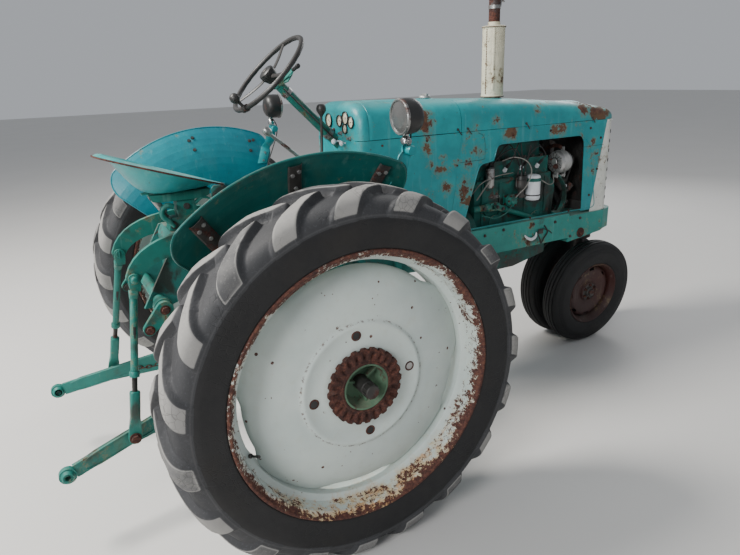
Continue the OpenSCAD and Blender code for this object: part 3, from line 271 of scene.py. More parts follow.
def rubber(name, wheel_z, wheel_x, dusty):
    """Old tyre rubber: dark walls; grey in the channels between lugs, partly dust and partly painted light; dry
    grey bloom with grit where the tread wears; pale lug edges, a painted highlight with dust.
    """
    f = Finish(name)
    reach = f.radius_from(wheel_x, wheel_z)
    cloudy = f.noise(7, 5, 0.6).rises(0.3, 0.7)
    wall = f.mix(cloudy * 0.6, (0.0060, 0.0060, 0.0068), (0.0125, 0.0122, 0.0128))
    brown = f.noise(4.5, 4, 0.6).rises(0.5, 0.72)
    wall = f.mix(brown * 0.35, wall, (0.020, 0.016, 0.012))
    grit = f.noise(130, 5, 0.75).rises(0.54, 0.66)
    wear = f.node("ShaderNodeAttribute", {"attribute_name": "worn"}, out="Fac")
    between = wear.rises(0.02, 0.12)
    # Grey over the tread between the lug tops: partly dust, partly painted light for sun on the channels
    wall = f.mix(between * (grit * 0.40 + 0.42) * dusty, wall, (0.064, 0.066, 0.072))
    bloom = f.mix(f.noise(9, 6, 0.7).rises(0.3, 0.7), (0.072, 0.072, 0.075), (0.150, 0.148, 0.143))
    bloom = f.mix(grit * 0.55, bloom, (0.245, 0.238, 0.225))
    bloom = f.mix(f.noise(17, 6, 0.72).rises(0.50, 0.60) * 0.55, bloom, (0.082, 0.082, 0.088))
    bloom = f.mix(f.noise(34, 6, 0.75).rises(0.56, 0.66) * 0.6, bloom, (0.070, 0.070, 0.074))
    bloom = f.mix(f.noise(3.5, 3).rises(0.40, 0.62) * 0.5, bloom, (0.050, 0.051, 0.056))
    crest = wear.rises(0.78, 0.93)
    colour = f.mix(crest * dusty, wall, bloom)
    # Pale lines along the lug tops' edges: painted highlight, partly dust
    edge = wear.rises(0.86, 0.94) * wear.rises(1.0, 0.965)
    colour = f.mix(edge * dusty * 0.6, colour, (0.36, 0.35, 0.33))
    crack = f.cells(46, "DISTANCE_TO_EDGE").rises(0.05, 0.0) * f.noise(6, 3).rises(0.5, 0.62) * 0.6
    colour = f.mix(crack * 0.6, colour, (0.006, 0.006, 0.006))
    ring = reach.rises(0.618, 0.621) * reach.rises(0.626, 0.623) * dusty
    colour = f.mix(ring * 0.5, colour, (0.06, 0.06, 0.062))
    bump = f.relief(f.noise(320, 4) * 0.3 + f.noise(60, 4) * 0.5 - crack, 0.0014)
    return f.set(Base_Color=colour, Roughness=0.66 + crest * 0.24 + f.noise(40, 2) * 0.1, Normal=bump)


def wheel_cream(name, lip_rust):
    """Chalky cream wheel paint: rust at the lip, at the seams and in scattered chips."""
    f = Finish(name)
    reach = f.radius_from(REAR_AXLE_X, REAR_Z)
    tone = f.mix(f.noise(2.6, 4, 0.6).rises(0.35, 0.65), (0.53, 0.59, 0.555), (0.44, 0.505, 0.485))
    tone = f.mix(f.noise(26, 5, 0.7).rises(0.5, 0.75) * 0.35, tone, (0.44, 0.46, 0.39))
    low = f.coordinate("Z").rises(0.55, 0.22)
    broad = f.noise(9, 6, 0.72, bend=0.3)
    fine = f.noise(55, 5, 0.75)
    field = broad * 0.6 + fine * 0.4
    lip = reach.rises(lip_rust - 0.046, lip_rust - 0.004)
    band = field.rises(0.60, 0.63) * reach.rises(0.405, 0.462) * 0.95
    seam = reach.rises(0.2365, 0.240) * reach.rises(0.247, 0.2435) * fine.rises(0.50, 0.58) * 0.8
    chips = f.cells(17).rises(0.115, 0.095) * broad.rises(0.50, 0.55)
    pin = f.cells(44).rises(0.125, 0.10) * f.noise(8, 2).rises(0.55, 0.62)
    speckle = f.noise(70, 6, 0.78) * 0.55 + broad * 0.45
    mask = (speckle + lip * 0.17).rises(0.585, 0.605).least(lip.rises(0.02, 0.2)).most(band).most(seam)
    mask = mask.most(chips).most(pin)
    stain = (field + lip * 0.2 + low * 0.08).rises(0.56, 0.70) * reach.rises(0.43, 0.485)
    ochre = f.mix(f.noise(30, 4).rises(0.4, 0.6), (0.50, 0.25, 0.07), (0.55, 0.42, 0.22))
    tone = f.mix(stain * (0.45 + low * 0.45), tone, ochre)
    colour = f.mix(mask, tone, rust_colour(f, 85))
    bump = f.relief(mask * -0.5 + mask * f.noise(240, 4) + f.noise(30, 3) * 0.2, 0.0012)
    return f.set(Base_Color=colour, Roughness=0.50 + mask * 0.36, Normal=bump)


# Bare patches of the right side: (x, z, radius) in metres from under the rear axle
HOOD_BLOTCHES = ((.787, 1.527, .030), (.800, 1.560, .018), (1.238, 1.508, .012), (1.876, 1.515, .026),
                 (1.94, 1.500, .030), (2.02, 1.492, .034), (2.08, 1.505, .028), (1.536, 1.556, .014), )
SHEET_BLOTCHES = ((1.322, 1.431, .020), (1.35, 1.428, .014), (.795, 1.418, .015), (.805, 1.385, .010),
                  (1.112, 1.362, .026), (1.043, 1.299, .018), (1.07, 1.305, .014), (.875, 1.282, .015),
                  (.905, 1.286, .015), (.912, 1.199, .020), (1.040, 1.21, .026), (1.052, 1.165, .032),
                  (1.060, 1.12, .020), (1.66, 1.431, .018), (1.70, 1.434, .018), (1.971, 1.177, .018),
                  (1.975, 1.22, .014), (.809, 1.32, .008), (1.96, 1.33, .016), )


def make_finishes():
    teal, teal_faded = (0.003, 0.222, 0.246), (0.009, 0.330, 0.350)
    return {
        "hood": old_paint("hood_paint", teal, teal_faded, 0.34, dust=0.12, pit=0.35,
                          blotches=HOOD_BLOTCHES),
        "sheet": old_paint("sheet_paint", teal, teal_faded, 0.40, dust=0.22, blotches=SHEET_BLOTCHES),
        "frame": old_paint("frame_paint", (0.012, 0.205, 0.178), (0.026, 0.285, 0.240), 0.42, gloss=0.55,
                           grease=0.25),
        # Darker than the frame paint: partly grease and dirt, partly painted shade.
        "linkage": old_paint("linkage_grime_and_shade_paint", (0.002, 0.122, 0.098), (0.004, 0.185, 0.150), 0.50, gloss=0.5,
                             dust=0.05, grease=0.45),
        # The two fenders wear one paint in two copies: the right one darker green as painted shade, the far
        # left one bluer as painted sky light.
        "fender": old_paint("fender_paint", (0.003, 0.090, 0.078), (0.004, 0.140, 0.130), 0.25, gloss=0.34,
                            dust=0.15),
        "far_fender": old_paint("far_fender_paint", (0.003, 0.152, 0.200), (0.005, 0.210, 0.250), 0.16,
                                gloss=0.36, dust=0.08, pit=0.3),
        "seat": old_paint("seat_paint", teal, (0.035, 0.360, 0.310), 0.40, dust=0.25),
        "casting": casting("painted_casting", (0.008, 0.165, 0.145), 0.55),
        "engine": casting("oily_casting", (0.012, 0.150, 0.125), 0.8),
        "cream": wheel_cream("wheel_cream", 0.505),
        "muffler": old_paint("muffler_paint", (0.58, 0.54, 0.40), (0.62, 0.60, 0.48), 0.55, gloss=0.6),
        "grille": old_paint("grille_paint", (0.62, 0.63, 0.58), (0.70, 0.71, 0.66), 0.30, gloss=0.45),
        "rust": bare("rusty_iron", (0.10, 0.06, 0.05), 0.2, 0.55, 1.6),
        "pipe": bare("burnt_pipe", (0.060, 0.042, 0.040), 0.3, 0.55, 0.9),
        "iron": bare("dirty_iron", (0.075, 0.072, 0.068), 0.5, 0.45, 0.55),
        "wheel_red": old_paint("front_wheel_paint", (0.052, 0.014, 0.011), (0.034, 0.016, 0.015), 0.55,
                               gloss=0.6, dust=0.08),
        "cup": casting("hub_cup", (0.10, 0.19, 0.115), 0.35),
        "steel": bare("worn_steel", (0.42, 0.42, 0.41), 0.9, 0.32, 0.55),
        "aluminium": bare("cast_aluminium", (0.55, 0.55, 0.54), 0.85, 0.42, 0.1),
        "white": old_paint("filter_white", (0.74, 0.76, 0.78), (0.66, 0.70, 0.74), 0.0, gloss=0.4,
                           dust=0.2, pit=0.2),
        "black": bare("black_enamel", (0.018, 0.018, 0.018), 0.0, 0.36, 0.30),
        "grip": bare("worn_grip", (0.030, 0.028, 0.027), 0.0, 0.40, 0.12),
        "hose": bare("rubber_hose", (0.020, 0.020, 0.020), 0.0, 0.55, 0.0),
        "cream_dial": old_paint("dial_cream", (0.70, 0.68, 0.52), (0.64, 0.60, 0.44), 0.0, gloss=0.35,
                                dust=0.1, pit=0.1),
        "lens": bare("lamp_lens", (0.150, 0.150, 0.148), 0.45, 0.22, 0.0, grain=40),
        "wire": bare("pale_wire", (0.26, 0.25, 0.225), 0.0, 0.5, 0.15),
        "chrome": bare("dulled_chrome", (0.55, 0.55, 0.54), 1.0, 0.16, 0.25),
        "rear_rubber": rubber("rear_rubber", REAR_Z, REAR_AXLE_X, 1.0),
        "front_rubber": rubber("front_rubber", 0.345, REAR_AXLE_X + FRONT_X, 0.10),
    }


# ---------------------------------------------------------------- mesh kit

X, Y, Z = Vector((1, 0, 0)), Vector((0, 1, 0)), Vector((0, 0, 1))
FLAT = math.radians(28)


def mm(*values):
    """Pairs of millimetres, as a list of points in metres."""
    metres = [v / 1000 for v in values]
    return list(zip(metres[::2], metres[1::2]))


def polar(radius, degrees):
    a = math.radians(degrees)
    return radius * math.cos(a), radius * math.sin(a)


def round_x(centre, radius, degrees):
    """A point on a circle about an axis along X."""
    y, z = polar(radius, degrees)
    return Vector(centre) + Vector((0, y, z))


def round_y(centre, radius, degrees):
    """A point on a circle about an axis along Y."""
    x, z = polar(radius, degrees)
    return Vector(centre) + Vector((x, 0, z))


def facing(way, points):
    """Places for bolts(): points, each with the direction that its bolt head faces."""
    return [(p, way) for p in points]


def new_mesh(name, verts, faces=()):
    """A mesh of points that are measured from under the rear axle."""
    mesh = bpy.data.meshes.new(name)
    mesh.from_pydata([(x + REAR_AXLE_X, y, z) for x, y, z in verts], [], list(faces))
    mesh.update()
    return mesh


def dress(name, mesh, finish, body="chassis", smooth=True, angle=35.0, replaces=None):
    """Makes a finished piece of a mesh."""
    if not mesh.materials:
        mesh.materials.append(FINISHES[finish])
    if smooth:
        mesh.shade_smooth()
        mesh.set_sharp_from_angle(angle=math.radians(angle))
    else:
        mesh.shade_flat()
    obj = bpy.data.objects.new(name, mesh)
    bpy.context.scene.collection.objects.link(obj)
    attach(obj, body)
    if replaces:
        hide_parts(replaces)
    return obj


def quads(rings, points, loop=True, closed=True):
    """Faces between rings of points; loop joins the last ring to the first, closed each ring's ends."""
    faces = []
    for i in range(rings if loop else rings - 1):
        j = (i + 1) % rings
        for k in range(points if closed else points - 1):
            m = (k + 1) % points
            faces.append((i * points + k, i * points + m, j * points + m, j * points + k))
    return faces


class Shape:
    """Gathers simple solids into one mesh, so that a piece may hold many of them."""

    def __init__(self):
        self.verts, self.faces = [], []

    def add(self, verts, faces):
        base = len(self.verts)
        self.verts += [tuple(v) for v in verts]
        self.faces += [tuple(base + i for i in f) for f in faces]
        return self

    def spun(self, profile, centre, axis, steps=48, closed=False):
        """Turns (radius, along) pairs about an axis."""
        axis = Vector(axis).normalized()
        side = axis.orthogonal().normalized()
        other = axis.cross(side)
        centre = Vector(centre)
        verts = []
        for j in range(steps):
            u, v = polar(1, 360 * j / steps)
            verts += [centre + r * (u * side + v * other) + t * axis for r, t in profile]
        return self.add(verts, [face[::-1] for face in quads(steps, len(profile), closed=closed)])

    def ring(self, profile, centre, axis, steps=48):
        """Turns a closed profile about an axis."""
        return self.spun(profile, centre, axis, steps, closed=True)

    def tube(self, path, radius, sides=10, closed=False):
        """A round bar or pipe that follows a path; radius may be a list along it."""
        pts = [Vector(p) for p in path]
        n = len(pts)
        radii = radius if isinstance(radius, list) else [radius] * n
        verts, up = [], None
        for i, p in enumerate(pts):
            before = pts[i - 1] if (i or closed) else p
            after = pts[(i + 1) % n] if (i < n - 1 or closed) else p
            along = (after - before).normalized()
            if up is None:
                up = along.orthogonal().normalized()
            up = (up - along * up.dot(along)).normalized()
            side = along.cross(up)
            for k in range(sides):
                u, v = polar(radii[i], 360 * k / sides)
                verts.append(p + u * up + v * side)
        faces = quads(n, sides, loop=closed)
        if not closed:
            faces += [tuple(reversed(range(sides))), tuple((n - 1) * sides + k for k in range(sides))]
        return self.add(verts, faces)

    def hose(self, points, radius, sides=8, per=6):
        """A tube along a smooth curve through the points."""
        return self.tube(curve_points(points, per), radius, sides)

    def prism(self, outline, frame_, depth):
        """Extrudes a 2D outline; frame_ is (origin, u, v), and depth runs along u x v."""
        origin, u, v = (Vector(a) for a in frame_)
        w = u.cross(v).normalized() * depth
        n = len(outline)
        area = sum(outline[i - 1][0] * outline[i][1] - outline[i][0] * outline[i - 1][1] for i in range(n))
        pts = outline if area > 0 else outline[::-1]
        low = [origin + u * a + v * b for a, b in pts]
        faces = [tuple(reversed(range(n))), tuple(range(n, 2 * n)), *quads(2, n, loop=False)]
        if depth < 0:
            faces = [face[::-1] for face in faces]
        return self.add(low + [p + w for p in low], faces)

    def plate(self, outline, y, depth):
        """Extrudes an (x, z) outline from y to the right by depth."""
        return self.prism(outline, ((0, y, 0), X, Z), depth)

    def slab(self, outline, z, depth):
        """Extrudes an (x, y) outline upward from z by depth."""
        return self.prism(outline, ((0, 0, z), X, Y), depth)

    def block(self, low, high):
        (a, b, c), (d, e, f) = low, high
        return self.slab([(a, b), (d, b), (d, e), (a, e)], c, f - c)

    def sheet(self, grid, thick, skip=None, wrap=False):
        """A thin shell over a grid of points; skipped cells are open holes with walls."""
        g = np.array([[tuple(p) for p in row] for row in grid], float)
        rows, cols = g.shape[:2]
        down = np.gradient(g, axis=0)
        over = np.roll(g, -1, 1) - np.roll(g, 1, 1) if wrap else np.gradient(g, axis=1)
        n = np.cross(down, over)
        n /= np.maximum(np.linalg.norm(n, axis=2, keepdims=True), 1e-9)
        verts = np.concatenate([g.reshape(-1, 3), (g - n * thick).reshape(-1, 3)])
        base, last = rows * cols, cols if wrap else cols - 1
        solid = {(i, j) for i in range(rows - 1) for j in range(last) if not (skip and skip(i, j))}
        faces = []
        for i, j in sorted(solid):
            k = (j + 1) % cols
            a, b, c, d = i * cols + j, i * cols + k, (i + 1) * cols + k, (i + 1) * cols + j
            faces += [(a, b, c, d), (d + base, c + base, b + base, a + base)]
            left, right = ((j - 1) % last, (j + 1) % last) if wrap else (j - 1, j + 1)
            near = (((i - 1, j), a, b), ((i + 1, j), c, d), ((i, left), d, a), ((i, right), b, c))
            faces += [(q, p, p + base, q + base) for other, p, q in near if other not in solid]
        return self.add(verts.tolist(), faces)

    def loft(self, rings):
        """A solid skin through rings of as many points each, closed at both ends."""
        n = len(rings[0])
        faces = [tuple(reversed(range(n))), tuple((len(rings) - 1) * n + k for k in range(n))]
        return self.add([p for ring in rings for p in ring], faces + quads(len(rings), n, loop=False))

    def ball(self, centre, radius, rings=10, steps=16, squash=1.0, axis=Z):
        profile = [(radius * math.sin(math.pi * i / rings), -radius * squash * math.cos(math.pi * i / rings))
                   for i in range(rings + 1)]
        return self.spun(profile, centre, axis, steps)

    def piece(self, name, finish, body="chassis", bevel=0.0, merge=True, **more):
        """Ends the shape as a piece, with points that meet welded and sharp edges bevelled."""
        mesh = new_mesh(name, self.verts, self.faces)
        bm = bmesh.new()
        bm.from_mesh(mesh)
        if merge:
            bmesh.ops.remove_doubles(bm, verts=bm.verts, dist=1e-5)
        bmesh.ops.dissolve_degenerate(bm, dist=1e-6, edges=bm.edges)
        bmesh.ops.recalc_face_normals(bm, faces=bm.faces)
        if bevel:
            sharp = [e for e in bm.edges if e.is_manifold and e.calc_face_angle(0) > FLAT]
            bmesh.ops.bevel(bm, geom=sharp, offset=bevel, segments=2, affect="EDGES", clamp_overlap=True,
                            profile=0.6)
        bm.to_mesh(mesh)
        bm.free()
        return dress(name, mesh, finish, body, **more)

    def group(self, *args, **more):
        """Ends the shape as a piece whose solids stay apart."""
        return self.piece(*args, merge=False, **more)


def arc_points(cx, cy, r, a0, a1, n=8):
    turns = [polar(r, a0 + (a1 - a0) * i / n) for i in range(n + 1)]
    return [(cx + u, cy + v) for u, v in turns]


def disc_points(cx, cy, r):
    return arc_points(cx, cy, r, 0, 360, 24)[:-1]


def curve_points(points, per=6):
    """Catmull-Rom through the given points."""
    pts = [Vector(p) for p in points]
    ends = [2 * pts[0] - pts[1]] + pts + [2 * pts[-1] - pts[-2]]
    out = []
    for i in range(1, len(ends) - 2):
        p0, p1, p2, p3 = ends[i - 1:i + 3]
        for k in range(per):
            t = k / per
            out.append(0.5 * (2 * p1 + (p2 - p0) * t + (2 * p0 - 5 * p1 + 4 * p2 - p3) * t * t
                              + (3 * p1 - p0 - 3 * p2 + p3) * t ** 3))
    return out + [pts[-1]]


def smoothstep(low, high, x):
    """Rises smoothly from 0 at low to 1 at high; x may be a number or an array."""
    t = np.clip((x - low) / (high - low), 0, 1)
    s = t * t * (3 - 2 * t)
    return s if np.ndim(s) else float(s)


# ---------------------------------------------------------------- fastenings by Geometry Nodes

def bolt_tree():
    """Puts a washer and a hexagon head on each point, along the point's own direction."""
    tree = bpy.data.node_groups.new("bolt_heads", "GeometryNodeTree")
    face = tree.interface
    face.new_socket("Points", in_out="INPUT", socket_type="NodeSocketGeometry")
    for label, value in (("Head radius", 0.009), ("Head height", 0.007)):
        face.new_socket(label, in_out="INPUT", socket_type="NodeSocketFloat").default_value = value
    face.new_socket("Finish", in_out="INPUT", socket_type="NodeSocketMaterial")
    face.new_socket("Geometry", in_out="OUTPUT", socket_type="NodeSocketGeometry")

    def add(kind, settings=None, sockets=None):
        made = tree.nodes.new(kind)
        for key, value in (settings or {}).items():
            setattr(made, key, value)
        for key, value in (sockets or {}).items():
            if hasattr(value, "is_output"):
                tree.links.new(value, made.inputs[key])
            else:
                made.inputs[key].default_value = value
        return made

    def scaled(value, factor):
        return add("ShaderNodeMath", {"operation": "MULTIPLY"}, {0: value, 1: factor}).outputs[0]

    given = add("NodeGroupInput")
    radius, height = given.outputs["Head radius"], given.outputs["Head height"]
    head = add("GeometryNodeMeshCylinder", {"fill_type": "NGON"},
               {"Vertices": 6, "Radius": radius, "Depth": height})
    washer = add("GeometryNodeMeshCylinder", {"fill_type": "NGON"},
                 {"Vertices": 16, "Radius": scaled(radius, 1.35), "Depth": scaled(height, 0.3)})
    up = add("ShaderNodeCombineXYZ", {}, {2: scaled(height, 0.7)})
    raised = add("GeometryNodeTransform", {}, {"Geometry": head.outputs["Mesh"], "Translation": up.outputs[0]})
    joined = add("GeometryNodeJoinGeometry")
    tree.links.new(washer.outputs["Mesh"], joined.inputs[0])
    tree.links.new(raised.outputs[0], joined.inputs[0])
    way = add("GeometryNodeInputNamedAttribute", {"data_type": "FLOAT_VECTOR"}, {"Name": "way"})
    turn = add("FunctionNodeAlignRotationToVector", {"axis": "Z"}, {"Vector": way.outputs["Attribute"]})
    place = add("GeometryNodeInstanceOnPoints", {}, {"Points": given.outputs["Points"],
                "Instance": joined.outputs[0], "Rotation": turn.outputs[0]})
    real = add("GeometryNodeRealizeInstances", {}, {"Geometry": place.outputs[0]})
    coat = add("GeometryNodeSetMaterial", {}, {"Geometry": real.outputs[0],
               "Material": given.outputs["Finish"]})
    out = add("NodeGroupOutput")
    tree.links.new(coat.outputs[0], out.inputs[0])
    return tree


def bolts(name, places, finish, body="chassis", radius=0.009, height=0.007):
    """One piece of bolt heads; places are (point, direction) pairs."""
    mesh = new_mesh(name + "_points", [p for p, _ in places])
    way = mesh.attributes.new("way", "FLOAT_VECTOR", "POINT")
    for i, (_, d) in enumerate(places):
        way.data[i].vector = d
    carrier = bpy.data.objects.new(name + "_carrier", mesh)
    bpy.context.scene.collection.objects.link(carrier)
    mod = carrier.modifiers.new("heads", "NODES")
    mod.node_group = BOLT_TREE
    ids = {s.name: s.identifier for s in BOLT_TREE.interface.items_tree if s.in_out == "INPUT"}
    mod[ids["Head radius"]], mod[ids["Head height"]] = radius, height
    mod[ids["Finish"]] = FINISHES[finish]
    made = bpy.data.meshes.new_from_object(carrier.evaluated_get(bpy.context.evaluated_depsgraph_get()))
    carrier.modifiers.remove(mod)
    bpy.data.objects.remove(carrier)
    made.name = name
    return dress(name, made, finish, body, angle=30)


# ---------------------------------------------------------------- rear wheels

REAR_Z, REAR_Y = 0.705, 0.937
LUGS, PER_LUG = 19, 40
WEAR_SEED = {"left": 7, "right": 11}
LUG_SLANT = 113  # degrees around for each metre across the tread
TYRE_BASE = mm(0, 675, 30, 674.8, 60, 673.8, 85, 672, 102, 668, 115, 661, 125, 651, 132, 639, 137, 626,
               139.2, 615, 141, 606, 142, 595, 141.2, 580, 139.5, 560, 137.5, 540, 136, 520, 133, 510.5,
               126.2, 508.8, 119, 490)
TYRE_TOP = mm(0, 704.8, 30, 704.5, 60, 703.5, 86, 700.5, 106, 695, 122, 686, 133.5, 673, 139.5, 657,
              141.5, 638, 142, 619)


def rear_tyre(side):
    """The lugged tyre as one skin: columns follow the lugs, and a lug lifts the skin to its top line."""
    sign = SIDES[side]
    columns = LUGS * PER_LUG
    pitch = 2 * math.pi * REAR_Z / LUGS

    def finer(line):
        return [(p.x, p.y) for p in curve_points([(a, b, 0) for a, b in line], 3)]

    base, top = finer(TYRE_BASE), finer(TYRE_TOP)
    half = len(base) - 1
    verts = np.zeros((2 * half + 1, columns, 3))
    worn = np.zeros((2 * half + 1, columns))
    column = np.arange(columns)
    wear = np.random.RandomState(WEAR_SEED[side]).uniform(-1, 1, (2, LUGS))
    for row in range(-half, half + 1):
        k, out = abs(row), (1 if row >= 0 else -1)
        t_base, r_base = base[k]
        t_top, r_top = top[k] if k < len(top) else base[k]
        angle = 2 * math.pi * column / columns - math.pi / 2 + math.radians(LUG_SLANT) * min(t_base, .139)
        lift = np.zeros(columns)
        for half_wear, side_way, shift in ((wear[0], 1, PER_LUG // 2), (wear[1], -1, 0)):
            which = ((column + shift) // PER_LUG) % LUGS
            across = ((column + shift) % PER_LUG - PER_LUG / 2) / PER_LUG * pitch
            t_signed = out * t_base * side_way
            across = across + .003 * np.array([noise.noise(Vector((w * 3.1, t_signed * 30,
                    side_way + sign * 5.0))) for w in which])
            grow = 1 + .62 * smoothstep(.03, .13, t_signed)
            flat, foot = .0265 * grow, .039 * grow
            mask = smoothstep(-foot, -flat * .92, across) * smoothstep(foot * 1.12, flat, across)
            mask = mask * smoothstep(-.020, .004, t_signed) * (1 - .035 * (1 + half_wear[which]))
            lift = np.maximum(lift, mask)
        r = r_base + lift * (r_top - r_base)
        worn[row + half] = np.maximum(lift * smoothstep(.606, .640, r), .1 * float(k < len(top)))
        verts[row + half, :, 0] = r * np.cos(angle)
        verts[row + half, :, 1] = sign * (REAR_Y + out * (t_base + lift * (t_top - t_base)))
        verts[row + half, :, 2] = REAR_Z + r * np.sin(angle)
    # The loop's last row of faces is the bore, which rests on the rim's seats
    faces = quads(2 * half + 1, columns)
    if sign > 0:
        faces = [face[::-1] for face in faces]
    name = f"rear_tyre_skin_{side}"
    mesh = new_mesh(name, verts.reshape(-1, 3).tolist(), faces)
    mesh.attributes.new("worn", "FLOAT", "POINT").data.foreach_set("value", worn.ravel())
    dress(name, mesh, "rear_rubber", f"rear_wheel_{side}", angle=48, replaces=f"rear_tyre_{side}")


def other_half(points):
    """Mirrors (radius, along) pairs to the wheel's other face, so that the outline goes on."""
    return [(r, -t) for r, t in reversed(points)]


def rear_rim(side):
    sign = SIDES[side]
    s = Shape()
    outer = mm(508, 123.5, 508.8, 127, 508.8, 134, 506.5, 137.5, 502, 138.5, 497.5, 136.8)
    inner = mm(493, 130, 488, 124, 480, 118, 477.5, 108, 476, 70, 473.5, 62, 456, 52, 453, 48, 452.5, 0)
    back = mm(459, 0, 459.5, 48, 462.5, 55.5, 480, 64, 483.6, 70, 484, 116, 488, 120, 499, 122)
    profile = outer + inner + other_half((outer + inner)[:-1]) + other_half(back[1:]) + back
    s.ring(profile, (0, sign * REAR_Y, REAR_Z), sign * Y, 128)
    s.piece(f"rear_rim_steel_{side}", "cream", f"rear_wheel_{side}", angle=30, replaces=f"rear_rim_{side}")


def rear_disc(side):
    """The dished disc: lobes reach the rim and are welded there, with open slots between them."""
    sign, body = SIDES[side], f"rear_wheel_{side}"
    steps, thick, edge_mark = 192, .008, 1.0
    lobes = (22, 152, -132, -52)
    line = mm(95.5, 85, 148, 85, 158, 83.8, 170, 81.2, 190, 80, 208, 80.6, 220, 83, 228, 84.6, 233, 84.2,
              238, 81.5, 243, 78, 250, 76, 265, 75.2, 300, 72, 340, 65.5, 380, 54.5, 415, 40,
              435, 28.5, 1000, 19)
    verts = []
    for j in range(steps):
        deg = 360 * j / steps
        near = min(abs((deg - lobe + 180) % 360 - 180) for lobe in lobes)
        edge = .4515 - .022 * smoothstep(17, 27, near) + .0012 * math.sin(5 * math.radians(deg))
        front = []
        for r, t in line:
            x, z = polar(edge if r == edge_mark else min(r, edge - .004), deg)
            dent = .0012 * noise.noise(Vector((x * 9, z * 9, 3.0 * sign)))
            front.append((x, sign * (REAR_Y + t + dent), REAR_Z + z))
        verts += front + [(x, y - sign * thick, z) for x, y, z in reversed(front)]
    disc = Shape().add(verts, quads(steps, 2 * len(line)))
    disc.piece(f"rear_disc_sheet_{side}", "cream", body, angle=40, replaces=f"rear_disc_{side}")
    rings, hole_shades, plug = Shape(), Shape(), Shape()
    for deg in (6, 96, 186, 276):
        c = round_y((0, sign * (REAR_Y + .0804), REAR_Z), .195, deg)
        rings.spun(mm(13.5, 0.4, 14.2, 2.2, 16.5, 2.6, 19, 1.2, 19.5, -1), c, sign * Y, 24)
        # The three open holes are dark discs on the sheet: painted shade for the openings; the fourth is
        # plugged.
        filling = plug if deg == 6 else hole_shades
        filling.spun(mm(0, 1, 11, 1, 13.8, 0.4), c, sign * Y, 24)
    rings.group(f"disc_hole_rims_{side}", "rust", body)
    hole_shades.group(f"disc_holes_{side}", "hose", body)
    plug.group(f"disc_plug_{side}", "aluminium", body)


def toothed_ring(side):
    """The rusty ring around the hub, with pockets between its teeth."""
    sign = SIDES[side]
    teeth, rim_mark = 24, 1
    steps = teeth * 8
    section = mm(88.5, 85, 88.5, 104.8, 90, 106.6, 96, 106.6, 98.5, 103.6, 106, 104.2, 113, 105.2, 124, 106,
                 133, 105.2, 1000, 102.2, 1000, 85)
    pockets = {.106: .3, .113: 1, .124: 1, .133: .45}
    verts = []
    for j in range(steps):
        deg = 360 * j / steps
        u, v = polar(1, deg)
        notch = .5 - .5 * math.cos(math.radians(deg) * teeth)
        rim = .1455 - .0075 * smoothstep(.45, .8, notch) + .0012 * noise.noise(Vector((u * 9, v * 9, sign)))
        deep = .0085 * smoothstep(.40, .68, 1 - notch)
        for r, t in section:
            rr = rim if r == rim_mark else r
            verts.append((rr * u, sign * (REAR_Y + t - deep * pockets.get(r, 0)), REAR_Z + rr * v))
    ring = Shape().add(verts, quads(steps, len(section)))
    ring.piece(f"toothed_ring_{side}", "rust", f"rear_wheel_{side}", angle=30, replaces=f"rear_hub_{side}")


def rear_hub(side):
    sign, body = SIDES[side], f"rear_wheel_{side}"
    c = (0, sign * REAR_Y, REAR_Z)
    toothed_ring(side)
    cup = Shape().spun(mm(88, 104.5, 85, 105.2, 81.5, 104.5, 78, 93, 72, 62, 64, 50, 40, 47, 0, 47), c,
                       sign * Y, 48)
    cup.piece(f"hub_cup_{side}", "cup", body)
    for k, deg in enumerate((40, 160, 280)):
        web = Shape()
        u = round_y((0, 0, 0), 1, deg)
        web.prism(mm(28, 45, 74, 45, 80, 75, 30, 68), ((-.004 * u[2], sign * REAR_Y, REAR_Z + .004 * u[0]), u,
                  sign * Y), .008)
        web.piece(f"hub_web_{side}_{k}", "cup", body, bevel=.0015)
    shaft = Shape().spun(mm(0, 150.5, 23.5, 150.5, 26.2, 148, 26.2, 118, 28, 116, 28, -330), c, sign * Y, 32)
    for deg in range(0, 360, 36):
        shaft.tube([round_y((0, sign * (REAR_Y + t), REAR_Z), .0262, deg) for t in (.120, .147)], .0022, 6)
    shaft.piece(f"axle_shaft_{side}", "iron", body)
    flange = Shape().spun(mm(28.5, -176, 120, -176, 124, -170, 124, 50, 116, 76.5, 88.5, 76.8), c, sign * Y, 64)
    flange.piece(f"hub_flange_{side}", "casting", body)


# ---------------------------------------------------------------- hood and cowl

SEAM_Z = 1.462
HOOD_W = 0.2385
PANEL_X = .43
CREST = mm(430, 1632, 487, 1633, 954, 1624, 1458, 1602, 1922, 1563, 2070, 1536, 2150, 1528)
COWL_END, HOOD_START, HOOD_END = 1.0105, 1.0135, 2.150
NOSE_R, CAP_R = 0.080, 0.048


def crest_at(x):
    xs, zs = zip(*CREST)
    return float(np.interp(x, xs, zs))


def rounded_in(x):
    """How far the sheet has turned in at a station near the nose or the instrument end."""
    for past, radius in ((x - HOOD_END + NOSE_R, NOSE_R), (PANEL_X + CAP_R - x, CAP_R)):
        if past > 0:
            return radius - math.sqrt(max(radius ** 2 - min(past, radius) ** 2, 0))
    return 0.0


def stations(low, high, turned_low=0.0, turned_high=0.0, step=.03):
    """Places along the sheet, close together where an end is rounded."""
    flat_low, flat_high = low + turned_low, high - turned_high
    xs = list(np.linspace(flat_low, flat_high, max(2, int((flat_high - flat_low) / step))))
    if turned_low:
        xs = [flat_low - polar(turned_low, a)[1] for a in range(90, 0, -10)] + xs
    if turned_high:
        xs += [flat_high + polar(turned_high, a)[1] for a in range(10, 91, 10)]
    return xs


def hood_section(x, inset=0.0):
    """The hood's outline above the seam at one station: flat sides, rounded shoulders, slight crown."""
    turned = rounded_in(x)
    half, top = HOOD_W - turned - inset, crest_at(x) - turned - inset
    points = []
    for a in np.linspace(0, 180, 45):
        c, s = polar(1, a)
        y = math.copysign(abs(c) ** .46, c) * half
        points.append((x, -y, SEAM_Z + .0012 + (top - SEAM_Z - .001) * abs(s) ** .62))
    return points


